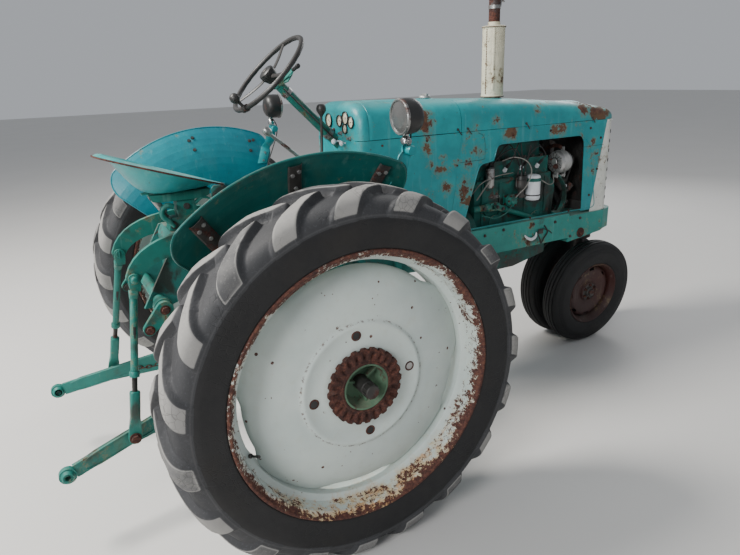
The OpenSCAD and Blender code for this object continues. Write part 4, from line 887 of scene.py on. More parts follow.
def hood_top():
    """Two sheets, cowl and hood, with pressed seams and a gap between them darkened by painted shade."""
    wave = Vector((3.1, 0.7, 5.3))
    seam_x, seam_half, seam_depth = .487, .0022, .0016

    def grid(xs):
        rows = []
        for x in xs:
            row = []
            for px, py, pz in hood_section(x, seam_depth if abs(x - seam_x) < seam_half else 0):
                dent = .0016 * noise.noise(Vector((px * 3.5, py * 5, pz * 4)) + wave)
                row.append((px, py + dent * (1 if py > 0 else -1), pz + dent))
            rows.append(row)
        return rows

    edges = [.484, .4855, .4870, .4885, .490]
    Shape().sheet(grid(sorted(stations(PANEL_X, COWL_END, CAP_R) + edges)), .0028).group("cowl_top",
            "hood", angle=50)
    Shape().sheet(grid(stations(HOOD_START, HOOD_END, 0, NOSE_R)), .0028).group("hood_sheet", "hood", angle=50,
            replaces="hood")
    nose = [(y, z) for _, y, z in hood_section(HOOD_END - .0005)]
    Shape().prism(nose, ((HOOD_END - .0035, 0, 0), Y, Z), .003).piece("nose_plate", "hood", bevel=.0012)
    # Dark strips inside the gaps between the sheets: painted shade for the shadow in the gaps
    gap_shade = Shape()
    for sign in SIDES.values():
        y = sign * (HOOD_W - .0065)
        gap_shade.block((.46, min(y, y + .002), SEAM_Z - .010), (2.06, max(y, y + .002), SEAM_Z + .010))
    gap_shade.sheet([hood_section(x, .0045) for x in (COWL_END - .02, HOOD_START + .02)], .002)
    gap_shade.piece("seam_gap_shade", "hose", smooth=False)


def cowl_sides():
    """Side sheets of the cowl, rounded into the instrument end."""
    def low_edge(x):
        return float(np.interp(x, (PANEL_X, .62, .940, COWL_END + .0015), (1.180, .960, .960, SEAM_Z - .001)))

    sheets = Shape()
    for sign in SIDES.values():
        rows = []
        for x in sorted(stations(PANEL_X, COWL_END - .001, CAP_R, step=.02) + [.9395]):
            y = sign * (HOOD_W - rounded_in(x))
            low = low_edge(x)
            rows.append([(x, y + sign * .0022 * noise.noise(Vector((x * 4, sign * 3.0, z * 4))), z)
                         for z in np.linspace(low, SEAM_Z - .0015, 19)])
        sheets.sheet(rows, .0028 * sign)
    sheets.group("cowl_side_sheets", "sheet", angle=50, replaces="cowl")


def instrument_end():
    """Instrument panel with its dials, switches and knobs."""
    face_x = PANEL_X + .0005
    outline = [(y, z) for _, y, z in hood_section(face_x, .001)]
    lower = HOOD_W - CAP_R
    outline = [(lower, 1.182), *reversed(outline), (-lower, 1.182)]
    s = Shape().prism(outline, ((face_x + .003, 0, 0), -Y, Z), .003)
    s.piece("instrument_panel", "sheet", bevel=.0008)
    dials = [(-.050, 1.547, .024), (-.104, 1.512, .020), (-.112, 1.562, .027), (-.168, 1.545, .024),
             (.07, 1.545, .030)]
    bezel, face, marks = Shape(), Shape(), Shape()
    for y, z, r in dials:
        c = (face_x, y, z)
        bezel.ring([(r, 0), (r + .004, .001), (r + .0045, .006), (r + .002, .0085), (r - .001, .007),
                    (r - .001, 0)], c, -X, 32)
        face.spun([(0, .002), (r, .002), (r, 0), (0, 0)], c, -X, 28)
        for k in range(9):
            for d in (.74, .80, .86):
                marks.ball(round_x((face_x - .0022, y, z), d * r, 220 - 32.5 * k), .0008, 4, 6)
        # Each needle rests at an angle of its own
        marks.tube([round_x((face_x - .0032, y, z), d * r, 130 + 1300 * abs(y)) for d in (-.2, .72)],
                   [.0012, .0004], 6)
        marks.ball((face_x - .003, y, z), .0026, 6, 10)
    bezel.group("dial_bezels", "black")
    face.group("dial_faces", "cream_dial")
    marks.group("dial_marks", "black")
    switches = Shape()
    for y, z in ((-.060, 1.490), (.02, 1.500), (-.150, 1.470), (.11, 1.470), (.15, 1.50)):
        switches.spun(mm(0, 20, 6, 19, 7, 8, 10, 6, 11, 0, 0, 0), (face_x, y, z), -X, 16)
    switches.group("panel_switches", "steel")
    knob = Shape().spun(mm(0, 46, 10, 45, 14, 38, 12, 30, 5, 24, 4.5, 0, 0, 0), (face_x, -.045, 1.452), -X, 20)
    knob.spun(mm(0, 30, 9, 29, 12, 22, 9, 16, 4, 10, 4, 0, 0, 0), (face_x, -.098, 1.446), -X, 20)
    knob.group("panel_knobs", "white")


def filler_cap():
    s = Shape()
    x = .950
    c = (x, 0, crest_at(x) - .004)
    s.spun(mm(0, 24, 20, 23.5, 24, 21, 28.5, 18.5, 30, 13, 30.5, 8, 26, 4, 26, 0, 0, 0), c, Z, 40)
    s.block((x - .007, -.027, c[2] + .021), (x + .007, .027, c[2] + .029))
    s.piece("filler_cap", "aluminium", bevel=.0012)
    Shape().ring(mm(46, -4, 46, 3, 41, 5.5, 33, 4, 33, -4), c, Z, 40).piece("filler_neck", "sheet")


def hood_fittings():
    """Latches along the seam, screws, the small door's edge and the flap on the hood."""
    hooks = Shape()
    for sign in SIDES.values():
        for x in (1.000, 1.062, 1.452, 1.948):
            y = sign * (HOOD_W + .001)
            hooks.hose([(x - .012, y, SEAM_Z + .016), (x - .004, y + sign * .004, SEAM_Z + .005),
                        (x + .002, y + sign * .005, SEAM_Z - .004), (x + .012, y + sign * .001, SEAM_Z - .012)],
                       .0026, 6, 4)
            hooks.spun(mm(0, 5, 5, 4.5, 6.2, 1, 6.2, -1, 0, -1), (x - .012, y - sign * .0005, SEAM_Z + .016),
                       sign * Y, 12)
    hooks.group("hood_latches", "iron")
    screws = mm(1350, 1425, 1620, 1428, 1930, 1420, 2020, 1360, 2010, 1180, 1960, 1030, 1020, 1120, 985, 1300,
                550, 1435, 800, 1437, 1800, 955, 1500, 955)
    places = []
    for sign in SIDES.values():
        places += facing(sign * Y, [(x, sign * (HOOD_W + .0008), z) for x, z in screws])
    bolts("sheet_screws", places, "rust", radius=.0055, height=.004)
    lines = Shape()
    for sign in SIDES.values():
        y = sign * (HOOD_W + .0002)
        door = [(1.004, y, 1.312), (1.08, y, 1.313), (1.156, y, 1.315), (1.165, y, 1.33), (1.163, y, 1.40),
                (1.150, y, 1.436), (1.118, y, 1.452)]
        lines.hose(door, .0011, 5, 5)
        lines.hose([(1.886, y, 1.317), (1.97, y, 1.318), (2.048, y, 1.319)], .0011, 5, 4)
    lines.group("door_seams", "hose")
    rows = [[(x, y, crest_at(x) + .0015 + .013 * smoothstep(1.925, 1.985, x) * (1 - (y / .09) ** 2) ** .5)
             for y in np.linspace(-.088, .088, 17)] for x in np.linspace(1.925, 1.995, 6)]
    Shape().sheet(rows, .002).piece("hood_flap", "hood", angle=40)
    hinge = Shape().tube([(1.924, y, crest_at(1.96) + .003) for y in (-.06, .06)], .0035, 8)
    hinge.piece("flap_hinge", "rust")


def nose_guard():
    """Raised middle rib, edge beads, the dark screen behind the grille's slots, and dark discs at the slots'
    ends that are painted shade for their openings.
    """
    x = 2.1505
    rib = Shape().slab([(x - .004, -.030), (x + .001, -.026), (x + .004, -.012), (x + .004, .012),
                        (x + .001, .026), (x - .004, .030)], .945, .500)
    rib.piece("grille_middle_rib", "grille", bevel=.001)
    screen = Shape()
    rows = [[(2.075, y, z) for y in np.linspace(-.20, .20, 41)] for z in np.linspace(.95, 1.44, 50)]
    screen.sheet(rows, .0015, skip=lambda i, j: i % 2 == 0 and j % 2 == 0)
    screen.group("grille_screen", "hose", smooth=False)
    lip = Shape()
    edge = arc_points(2.07, -.159, .0815, -90, 0)
    edge += [(px, -py) for px, py in reversed(edge)]
    for z in (.9345, 1.4535):
        lip.tube([(px, py, z) for px, py in edge], .0035, 8)
    lip.group("grille_edge_beads", "grille")
    # Dark discs at the slots' rounded ends: painted shade for the openings
    ends = Shape()
    for sign in SIDES.values():
        way = Vector((*polar(1, sign * 59), 0))
        for k in range(8):
            corner = Vector((2.070, sign * .1585, .998 + .056 * k))
            ends.spun(mm(0, 1, 10.5, 1, 12.4, -0.6), corner + way * .0802, way, 20)
    ends.group("grille_slot_ends", "hose")


# ---------------------------------------------------------------- fenders and lamps

FENDER_R, FENDER_IN, FENDER_OUT, FENDER_LOW = 0.800, 0.700, 0.800, 0.440
FENDER_FRONT, FENDER_REAR, FENDER_CORNER = 61, 138, 0.100
FENDER_BEND, FENDER_SHEET = 0.430, 0.004
BEND_AT = FENDER_R - FENDER_BEND * math.sin(math.acos(1 - (FENDER_OUT - FENDER_IN) / FENDER_BEND))


def on_fender(deg, radius, out=0.0, side="left"):
    """A point on the fender's convex skin; out moves it through the sheet toward the tyre."""
    turned = math.asin(max(0.0, radius - BEND_AT) / FENDER_BEND)
    y = FENDER_IN + FENDER_BEND * (1 - math.cos(turned)) + out * math.cos(turned)
    r = radius - out * math.sin(turned)
    return round_y((0, SIDES[side] * y, REAR_Z), r, deg)


def fender_edge():
    """(angle, radius) pairs up the front edge, around both corners and down the rear edge."""
    centre = FENDER_R - FENDER_CORNER
    lean = math.degrees(math.asin(FENDER_CORNER / centre))
    line = []
    for end, way in ((FENDER_FRONT, 1), (FENDER_REAR, -1)):
        mid = Vector(polar(centre, end + way * lean))
        half = [(end, r) for r in np.linspace(FENDER_LOW, centre * math.cos(math.radians(lean)), 9)[:-1]]
        for turn in np.linspace(-90, lean, 12):
            x, z = mid + Vector(polar(FENDER_CORNER, end + way * turn))
            half.append((math.degrees(math.atan2(z, x)), math.hypot(x, z)))
        if way > 0:
            half += [(d, FENDER_R) for d in np.linspace(FENDER_FRONT + lean, FENDER_REAR - lean, 50)[1:-1]]
        line += half if way > 0 else half[::-1]
    return line


def fender_trim(side):
    """Rolled edge, dark straps on the hollow side and their bright bolts."""
    sign = SIDES[side]
    # The far fender takes the lit copy of the fender paint and the right one the shaded copy: painted light and
    # shade.
    finish = "far_fender" if side == "left" else "fender"
    bead = Shape().tube([on_fender(d, min(r, FENDER_R - .003), FENDER_SHEET / 2, side)
                         for d, r in fender_edge()], .0046, 8)
    bead.group(f"fender_bead_{side}", finish)
    straps, heads, backs = Shape(), [], []
    for deg, width, low in ((71, .046, .64), (98, .048, .62), (127, .052, .62)):
        rows = []
        for r in np.linspace(.775, low, 8):
            half = math.degrees(width / 2 / r)
            rows.append([on_fender(deg + k * half, r, FENDER_SHEET + lift, side)
                         for k, lift in ((-1, .0006), (-.86, .006), (-.5, .0085), (.5, .0085), (.86, .006),
                                         (1, .0006))])
        straps.sheet(rows, .003)
        for r, aside in ((.752, -.25), (.742, .25), (.690, 0)):
            d = deg + aside * math.degrees(width / r)
            way = sign * Y - .5 * (on_fender(d, r) - Vector((0, on_fender(d, r).y, REAR_Z))).normalized()
            heads.append((on_fender(d, r, FENDER_SHEET + .008, side), way.normalized()))
            backs.append((on_fender(d, r, -.0012, side), -way.normalized()))
    straps.group(f"fender_straps_{side}", "iron", angle=30)
    bolts(f"fender_bolts_{side}", heads, "aluminium", radius=.0076, height=.0065)
    bolts(f"fender_bolt_backs_{side}", backs, "iron", radius=.0072, height=.005)


def fender_bracket(side):
    """Cast arm that carries the fender from the axle tube."""
    sign = SIDES[side]
    s = Shape()
    inner = sign * (FENDER_IN - .0203)
    outline = mm(-75, 820, 75, 820, 62, 880, 46, 980, 48, 1170, 30, 1190, -30, 1190, -48, 1170,
                 -46, 980, -62, 880)
    s.plate(outline, inner, sign * .010)
    s.plate(mm(-6, 822, 6, 822, 6, 1150, -6, 1150), inner - sign * .0095, sign * .022)
    s.group(f"fender_arm_{side}", "casting", bevel=.003)
    places = facing(-sign * Y, [(x, inner - sign * .0105, z) for x in (-.03, .03) for z in (1.04, 1.14)])
    bolts(f"fender_arm_bolts_{side}", places, "iron", radius=.010, height=.008)


def lamp(side):
    """Lamp on a swivel and a broad bracket; the right one shines to the rear, the left one ahead."""
    sign = SIDES[side]
    ahead = side == "left"
    c = Vector((.4155 if ahead else .345, sign * .740, 1.597))
    tip = Vector((1 if ahead else -1, 0, -.03)).normalized()
    neck = Vector((.367, sign * .740, 1.5315))
    shell = Shape().spun(mm(65.5, 0, 66.5, -4, 66.5, -30, 65.5, -44, 62, -58, 54, -70, 42, -78, 26, -82.5,
                            12, -83.5, 0, -83.5), c, tip, 56)
    shell.piece(f"lamp_shell_{side}", "black", replaces="lamps" if ahead else None)
    bezel = Shape().ring(mm(66.8, -3, 68, 1, 67.2, 6.5, 64, 9.5, 60, 8.8, 58.5, 5.5, 60, 1), c, tip, 56)
    for a in (90, 210, 330):
        bezel.ball(round_x(c + tip * .004, .066, a), .004, 6, 10)
    bezel.group(f"lamp_bezel_{side}", "steel")
    rings = mm(0, 13.5, 10, 13.3, 16, 11.8, 24, 12.3, 30, 10.8, 38, 11, 46, 9, 59.5, 5.2, 59.5, 0, 0, 0)
    Shape().spun(rings, c, tip, 56).piece(f"lamp_lens_{side}", "lens")
    swivel = Shape().spun(mm(0, 16, 13, 14, 15, 4, 11.5, -4, 15, -12, 19, -18, 19, -32, 13, -38, 0, -38),
                          neck, Z, 28)
    swivel.spun(mm(0, 30, 8, 30, 9, 24, 13, 22, 13, -20, 9, -24, 0, -24), neck - .024 * Z, sign * Y, 20)
    swivel.group(f"lamp_swivel_{side}", "chrome")
    foot = on_fender(64, .66, -.002, side)
    shank = [on_fender(64, r, -.0015, side) for r in (.64, .69, .735)]
    path = curve_points(shank + [Vector((.345, sign * .741, 1.400)), Vector((.360, sign * .741, 1.452)),
                                 neck + Vector((.004, 0, -.062)), neck - .040 * Z], 5)
    rows = []
    for i, p in enumerate(path):
        wide = .027 - .012 * smoothstep(.55, 1, i / (len(path) - 1))
        rows.append([(p.x + u, p.y - sign * .006 * (1 - (u / wide) ** 2), p.z)
                     for u in np.linspace(-wide, wide, 9)])
    bracket = Shape().sheet(rows, sign * .005)
    bracket.spun(mm(0, 30, 17, 29, 19, 24, 19, -24, 17, -29, 0, -30), neck + Vector((.012, 0, -.060)), Y, 24)
    bracket.group(f"lamp_bracket_{side}", "sheet", angle=40)
    wire = curve_points([c - tip * .046 - .058 * Z, neck + Vector((.026, -sign * .012, -.040)),
                         neck + Vector((.020, -sign * .016, -.10)), foot + Vector((.02, -sign * .030, -.02)),
                         foot + Vector((.012, -sign * .020, -.09))], 6)
    Shape().tube(wire, .0032, 8).piece(f"lamp_wire_{side}", "hose")
    bolts(f"lamp_bolts_{side}", facing((0, -sign, .2), [on_fender(64, r, -.009, side) for r in (.655, .700)]),
          "steel", radius=.007, height=.006)


# ---------------------------------------------------------------- seat

def seat_pan():
    """Pressed pan: wide flat lip, deep bowl at the rear, shallow front, leaning as the old seat does."""
    lean = math.radians(3)
    back, front, deepest = -.674, -.159, -.355
    steps, rings, lip, lip_in, thick = 72, 15, .16, .87, .0032
    floor_z, lean_z = 1.306, 1.302

    def edge(a):
        # 0 at the rear, 180 at the front; the pan is widest behind its middle
        c, s = math.cos(a), math.sin(a)
        long_ = .5 - .5 * math.copysign(abs(c) ** .82, c)
        wide = .233 * (abs(s) ** .72) * (1 - .30 * smoothstep(.45, 1.0, long_))
        return back + (front - back) * long_, math.copysign(wide, s)

    def lip_z(x):
        return 1.478 - .168 * (x - back) / (front - back)

    rows = []
    for t in np.linspace(0, 1, rings + 1)[:-1]:
        row = []
        for k in range(steps):
            a = 2 * math.pi * k / steps
            x, y = edge(a)
            if t < lip:
                u = t / lip
                reach = 1 - .13 * u
                z = lip_z(x) + .004 * math.sin(math.pi * u) - .004 * (1 - u) ** 3
            else:
                u = (t - lip) / (1 - lip)
                reach = lip_in * (1 - u ** 1.25)
                deep = smoothstep(0, .62, u)
                z = lip_z(deepest + (x - deepest) * lip_in) * (1 - deep) + floor_z * deep
                z += .004 * math.cos(3 * a) * u * (1 - u)
            x, y = deepest + (x - deepest) * reach, y * reach
            row.append((x, y * math.cos(lean) + (z - lean_z) * math.sin(lean), z - y * math.sin(lean)))
        rows.append(row)
    s = Shape().sheet(rows, thick, wrap=True)
    floor = [Vector(p) for p in rows[-1]]
    floor.append(sum(floor, Vector()) / steps)
    fan = [(k, (k + 1) % steps, steps) for k in range(steps)]
    s.add(floor, fan).add([p - thick * Z for p in floor], [face[::-1] for face in fan])
    s.group("seat_pan_sheet", "seat", angle=50, replaces="seat_pan")
    Shape().tube(rows[0], .0040, 8, closed=True).piece("seat_rolled_edge", "rust")
    bolts("seat_bolts", facing(Z, [(x, y, 1.3105) for x in (-.42, -.30) for y in (.02, -.03)]), "rust",
          radius=.009, height=.006)


def seat_mount():
    """Channel, hinged block, damper and the curved spring arm under the pan."""
    s = Shape()
    # Channel with turned-down sides, its ends bent up to the pan
    for y in (-.052, .046):
        s.plate(mm(-486, 1292, -476, 1268, -440, 1262, -260, 1262, -232, 1274, -226, 1298, -486, 1300),
                y, -.006)
    s.slab(mm(-490, -52, -224, -52, -224, 52, -490, 52), 1.294, .006)
    s.plate(mm(-510, 1296, -470, 1298, -452, 1328, -462, 1332, -482, 1304, -510, 1302), -.020, -.040)
    s.group("seat_channel", "linkage", bevel=.0015)
    block = Shape().plate(mm(-372, 1180, -296, 1180, -290, 1225, -296, 1262, -372, 1262, -378, 1225),
                          .040, .080)
    block.plate(mm(-420, 1131, -275, 1131, -285, 1186, -410, 1186), .040, .080)
    block.group("seat_block", "linkage", bevel=.004, replaces="seat_support")
    arm = Shape()
    sweep = mm(-300, 1246, -268, 1268, -236, 1262, -214, 1236, -205, 1190, -205, 1134)
    pts = curve_points([(x, -.046, z) for x, z in sweep], 6)
    rows = [[(p.x, p.y + u, p.z) for u in (-.014, -.010, .010, .014)] for p in pts]
    arm.sheet(rows, .009)
    hook = curve_points([(-.392, -.050, 1.238), (-.418, -.050, 1.246), (-.440, -.050, 1.228),
                         (-.440, -.050, 1.200), (-.418, -.050, 1.176), (-.398, -.050, 1.150)], 6)
    arm.tube(hook, [.012] * (len(hook) - 6) + [.011, .010, .009, .009, .0085, .008], 12)
    arm.group("seat_spring_arm", "linkage", angle=40)
    damper = Shape()
    a, b = Vector((-.470, -.030, 1.286)), Vector((-.398, -.030, 1.158))
    way = (b - a).normalized()
    damper.spun(mm(0, 0, 14, 1, 15, 8, 15, 80, 13, 84, 6.5, 85, 6.5, 142, 0, 142), a, way, 24)
    damper.ring(mm(9, -10, 17, -10, 17, 10, 9, 10), a, Y, 20)
    damper.ring(mm(6, -10, 14, -10, 14, 10, 6, 10), b, Y, 20)
    damper.group("seat_damper", "steel")
    bolts("seat_mount_bolts", [((-.334, -.0405, 1.232), -Y), ((-.470, -.0415, 1.286), -Y),
                               ((-.398, -.0415, 1.158), -Y), ((-.398, -.0405, 1.150), -Y),
                               ((-.334, .0405, 1.232), Y), ((-.30, -.0405, 1.150), -Y)], "iron", radius=.011,
          height=.008)


# ---------------------------------------------------------------- steering and controls

WHEEL_C = Vector((.105, 0, 1.771))
COLUMN = (X - Z).normalized()
WHEEL_UP = (X + Z).normalized()
GRIP_R = .212


def column_point(t, out=0.0, deg=0.0):
    """A point t down the column from the wheel's middle and out from its line; 0 degrees is the upper side."""
    up, aside = polar(out, deg)
    return WHEEL_C + t * COLUMN + up * WHEEL_UP + aside * Y


def on_wheel(r, deg, lift=0.0):
    """A point in the steering wheel's plane, lifted towards the driver."""
    return column_point(-lift, r, deg)


def steering_wheel():
    path = [on_wheel(GRIP_R, d) for d in range(0, 360, 5)]
    verts, sides = [], 16
    for i, p in enumerate(path):
        out = (p - WHEEL_C).normalized()
        for k in range(sides):
            a = 2 * math.pi * k / sides
            # Finger grooves under the grip
            r = .0118 - (.0012 * (.5 + .5 * math.cos(i * math.pi * .75)) if math.sin(a) < -.3 else 0)
            verts.append(p + r * (math.cos(a) * out - math.sin(a) * COLUMN))
    rim = Shape().add(verts, quads(len(path), sides))
    rim.piece("steering_rim", "grip", "handwheel", replaces="steering_wheel")
    spokes = Shape()
    for d in (30, 150, 270):
        line = curve_points([on_wheel(r, d, -lift) for r, lift in ((.026, .010), (.060, .013), (.120, .010),
                             (.170, .004), (.210, 0))], 5)
        side = (on_wheel(.1, d + 90) - WHEEL_C).normalized()
        rows = []
        for i, p in enumerate(line):
            w = .0125 - .0035 * i / (len(line) - 1)
            rows.append([p + side * w * u - COLUMN * v for u, v in ((-1, 0), (-.6, .0045), (0, .006),
                         (.6, .0045), (1, 0))])
        spokes.sheet(rows, .0045)
    spokes.group("steering_spokes", "grip", "handwheel", angle=40)
    hub = Shape().spun(mm(0, 20, 18, 19.5, 30, 18, 36.5, 14, 38.5, 8, 38.5, -12, 34, -20, 28, -36, 22, -40,
                          9.8, -41, 9.8, -150, 0, -150), WHEEL_C, -COLUMN, 48)
    hub.piece("steering_hub", "black", "handwheel")
    cap = Shape().spun(mm(0, 23.2, 10, 22.8, 14, 20.5, 14.5, 18, 0, 18), WHEEL_C, -COLUMN, 28)
    cap.piece("steering_hub_cap", "iron", "handwheel")
    knob = Shape()
    grip = on_wheel(GRIP_R, 200)
    knob.spun(mm(0, 84, 9, 83, 16.5, 78, 21.5, 68, 22, 60, 18.5, 50, 11.5, 43, 7.5, 38, 7, 14, 10, 12, 10, 8,
                 0, 8), grip, -COLUMN, 28)
    knob.piece("spinner_knob", "grip", "handwheel")
    clamp = Shape()
    ring_way = (on_wheel(GRIP_R, 201) - on_wheel(GRIP_R, 199)).normalized()
    clamp.ring(mm(12, -16, 16.5, -16, 16.5, 16, 12, 16), grip, ring_way, 24)
    clamp.piece("spinner_clamp", "iron", "handwheel")


def steering_column():
    tube = Shape().spun(mm(10.5, 48, 19, 50, 23.5, 56, 24, 62, 24, 560, 30, 566, 34, 575, 34, 618, 0, 620),
                        WHEEL_C, COLUMN, 40)
    tube.piece("column_tube", "linkage", replaces="steering_column")
    sector = Shape()
    teeth, outline = 26, []
    for k in range(teeth + 1):
        a = -78 + 156 * k / teeth
        outline += [polar(r, a + turn) for turn, r in ((-1.72, .0865), (-.69, .0945), (.69, .0945),
                    (1.72, .0865))]
    outline += [polar(.026, a) for a in (110, 180, -110)]
    sector.prism(outline, (column_point(.070), WHEEL_UP, Y), .005)
    sector.piece("throttle_quadrant", "linkage", bevel=.0008)
    lever = Shape()
    rod = curve_points([column_point(.062, .016, -70), column_point(.060, .055, -62),
                        column_point(.052, .105, -61), column_point(.046, .140, -61)], 6)
    aside = column_point(0, 1, 28) - WHEEL_C
    rows = [[p + w * aside for w in (-.007, 0, .007)] for p in rod]
    lever.sheet(rows, .004)
    lever.ring(mm(24, -8, 30, -8, 30, 6, 24, 6), WHEEL_C + .062 * COLUMN, COLUMN, 28)
    lever.group("throttle_lever", "linkage", angle=40)
    grip = column_point(.047, .130, -61)
    tip = Shape().spun(mm(0, -4, 7, -3, 8.5, 4, 8, 22, 11, 36, 9, 44, 0, 46), grip,
                       column_point(.040, .2, -61) - grip, 20)
    tip.piece("throttle_grip", "black")
    bracket, foot = Shape(), column_point(.548)
    for y in (-.045, .036):
        bracket.prism(mm(0, -45, 70, -45, 80, 45, 0, 45), ((foot.x, y, foot.z), COLUMN, WHEEL_UP), .009)
    bracket.group("column_bracket", "linkage", bevel=.002)
    clip = Shape().ring(mm(24.2, -12, 28.5, -12, 28.5, 12, 24.2, 12), column_point(.40), COLUMN, 28)
    clip.ring(mm(24.2, -10, 27.5, -10, 27.5, 10, 24.2, 10), column_point(.12), COLUMN, 28)
    clip.group("column_clips", "steel")
    rod_line = Shape().tube([column_point(.085, .040, -100), column_point(.40, .036, -100),
                             column_point(.56, .040, -100)], .0038, 8)
    rod_line.piece("throttle_rod", "iron")


def levers():
    """Gear lever and lift lever with their boots and knobs."""
    gear = Shape()
    line = curve_points([(.290, -.060, .980), (.295, -.060, 1.12), (.318, -.060, 1.36), (.330, -.060, 1.590)],
                        8)
    gear.tube(line, np.linspace(.0095, .0060, len(line)).tolist(), 14)
    gear.piece("gear_lever", "iron", replaces="controls")
    Shape().spun(mm(0, 45, 12, 44, 20, 38, 23.5, 26, 22.5, 14, 16, 4, 9, -6, 6, -14, 0, -14),
                 (.330, -.060, 1.585), (.04, 0, 1), 28).piece("gear_knob", "grip")
    boot = Shape().spun(mm(34, 0, 36, 6, 31, 12, 34, 18, 27, 26, 29, 32, 21, 42, 22, 48, 12, 60, 0, 62),
                        (.290, -.060, .984), (.02, 0, 1), 32)
    boot.piece("gear_boot", "hose")
    lift = Shape()
    line = curve_points([(.375, .112, .950), (.376, .112, 1.12), (.372, .112, 1.265), (.355, .113, 1.305),
                         (.300, .115, 1.352), (.210, .118, 1.430), (.122, .120, 1.507)], 6)
    lift.tube(line, .0085, 14)
    lift.spun(mm(0, -6, 13, -4, 19.5, 6, 21.5, 18, 19, 31, 12, 40, 0, 42), (.134, .1198, 1.497),
              (-.72, .01, .69), 28)
    lift.group("lift_lever", "steel")
    collar = Shape().spun(mm(20, 0, 26, 2, 26, 20, 18, 30, 0, 31), (.375, .112, .945), Z, 28)
    collar.piece("lift_lever_collar", "casting")


def foot_treads():
    ridges = Shape()
    for sign in SIDES.values():
        for k in range(5):
            y = sign * (.178 + .017 * k)
            ridges.tube([(.412, y, 1.0125), (.352, y, .9815)], .0032, 6)
        for x in np.linspace(.27, .52, 12):
            ridges.tube([(x, sign * y, .6210) for y in (.225, .385)], .0030, 6)
    ridges.group("foot_treads", "casting")


# ---------------------------------------------------------------- muffler

MUFFLER_X = 1.400


def muffler():
    """Can with rolled ends and a stitched seam, outlet, rain cap and the collar on the hood."""
    c = MUFFLER_X * X
    can = Shape()

    def around(r, degrees, z):
        return c + Vector((*polar(r, degrees), z))
    profile = mm(34.2, 1596.3, 34.2, 1610.5, 60, 1611.2, 63.6, 1612.4, 64, 1618, 60.2, 1620, 59.5, 1660,
                 60, 1965, 64, 1967.2, 64.4, 1974, 60, 1976.5, 40, 1979, 32.5, 1980, 32.5, 1996)
    can.spun([(0, 1.5963)] + profile + [(0, 1.9960)], c, Z, 64)
    seam = ((226.27, .0600), (229.71, .0622), (234.29, .0622), (237.73, .0600))
    rows = [[around(r, deg, z) for deg, r in seam] for z in (1.652, 1.80, 1.965)]
    can.sheet(rows, .002)
    can.group("muffler_can", "muffler", angle=30, replaces="muffler")
    pipe = Shape().ring(mm(30, 1990, 30, 2106, 29, 2107.8, 26.2, 2107.8, 26.2, 1990), c, Z, 48)
    pipe.piece("muffler_outlet", "pipe")
    stitches = facing(around(1, 193, 0) - c, [around(.0600, 193, z) for z in np.linspace(1.632, 1.958, 40)])
    bolts("muffler_stitches", stitches, "rust", radius=.0026, height=.0012)
    hoops = Shape()
    for z in (1.6152, 1.9706):
        hoops.ring(mm(63.6, -2.2, 65, -1.6, 65, 1.6, 63.6, 2.2), c + z * Z, Z, 48)
    hoops.piece("muffler_hoops", "rust")
    Shape().ring(mm(30, 2060, 32.5, 2060, 32.5, 2078, 30, 2078), c, Z, 48).group("muffler_clamps", "steel")
    cap = Shape()
    tilt = round_y((0, 0, 0), 1, 102)
    cap.spun(mm(0, 5.5, 12, 5, 26, 3, 34.5, 0.2, 34.5, -2, 26, 0.8, 0, 3), c + 2.1130 * Z, tilt, 40)
    cap.group("rain_cap", "steel")
    hinge = Shape().tube([(1.436, -.016, 2.1085), (1.436, .016, 2.1085)], .0035, 10)
    for y in (.010, -.007):
        hinge.plate(mm(1430, 2070, 1437, 2072, 1442, 2105, 1434, 2108), y, .003)
    hinge.plate(mm(1440, 2106, 1462, 2094, 1466, 2098, 1444, 2111), .006, .012)
    hinge.group("rain_cap_hinge", "steel")
    ring = Shape().ring(mm(34.5, 0, 47, 0.5, 49, 3, 46, 4.5, 34.5, 4.5),
                        c + (crest_at(MUFFLER_X) - .001) * Z, Z, 48)
    ring.piece("muffler_collar", "rust")


# ---------------------------------------------------------------- front wheels

FRONT_X, FRONT_R, CAMBER = 2.163, .346, math.radians(4.3)


class FrontWheel:
    """Measures from one front wheel's centre, along and around its leaning axle."""

    def __init__(self, side):
        self.side, self.sign = side, SIDES[side]
        self.body = "front_wheel_l" if side == "left" else "front_wheel_r"
        self.centre = Vector((FRONT_X, self.sign * (.080 + FRONT_R * math.sin(CAMBER)),
                              FRONT_R * math.cos(CAMBER)))
        self.axis = Vector((0, self.sign * math.cos(CAMBER), -math.sin(CAMBER)))
        self.u = X
        self.v = Vector((0, self.sign * math.sin(CAMBER), math.cos(CAMBER)))

    def at(self, r, deg, t):
        u, v = polar(r, deg)
        return self.centre + u * self.u + v * self.v + t * self.axis


FRONT_TREAD = mm(0, 345.8, 7, 345.6, 8.6, 344.4, 9.8, 337.2, 14.6, 336.6, 16, 343.8, 17.6, 344.7, 30, 342.4,
                 31.6, 340.8, 33, 333.8, 37.8, 332.6, 39.2, 338.4, 40.8, 339, 53, 333, 58.5, 327, 62.5, 318.5,
                 64.2, 310.5, 63, 309, 66.2, 306, 69.2, 294, 68, 292.8, 70.4, 290, 71.8, 270, 71.4, 252,
                 69.4, 235, 68, 234, 67.8, 230, 65.5, 220, 64, 217.6, 64.2, 215, 61.2, 209.8, 56, 206.8,
                 49, 205.8, 47, 195)


def front_tyre(w):
    half = [(r, t) for t, r in FRONT_TREAD]
    tyre = Shape().ring(half + other_half(half[1:]), w.centre, w.axis, 128)
    tyre.piece(f"front_tyre_skin_{w.side}", "front_rubber", w.body, angle=42, replaces=f"front_tyre_{w.side}")


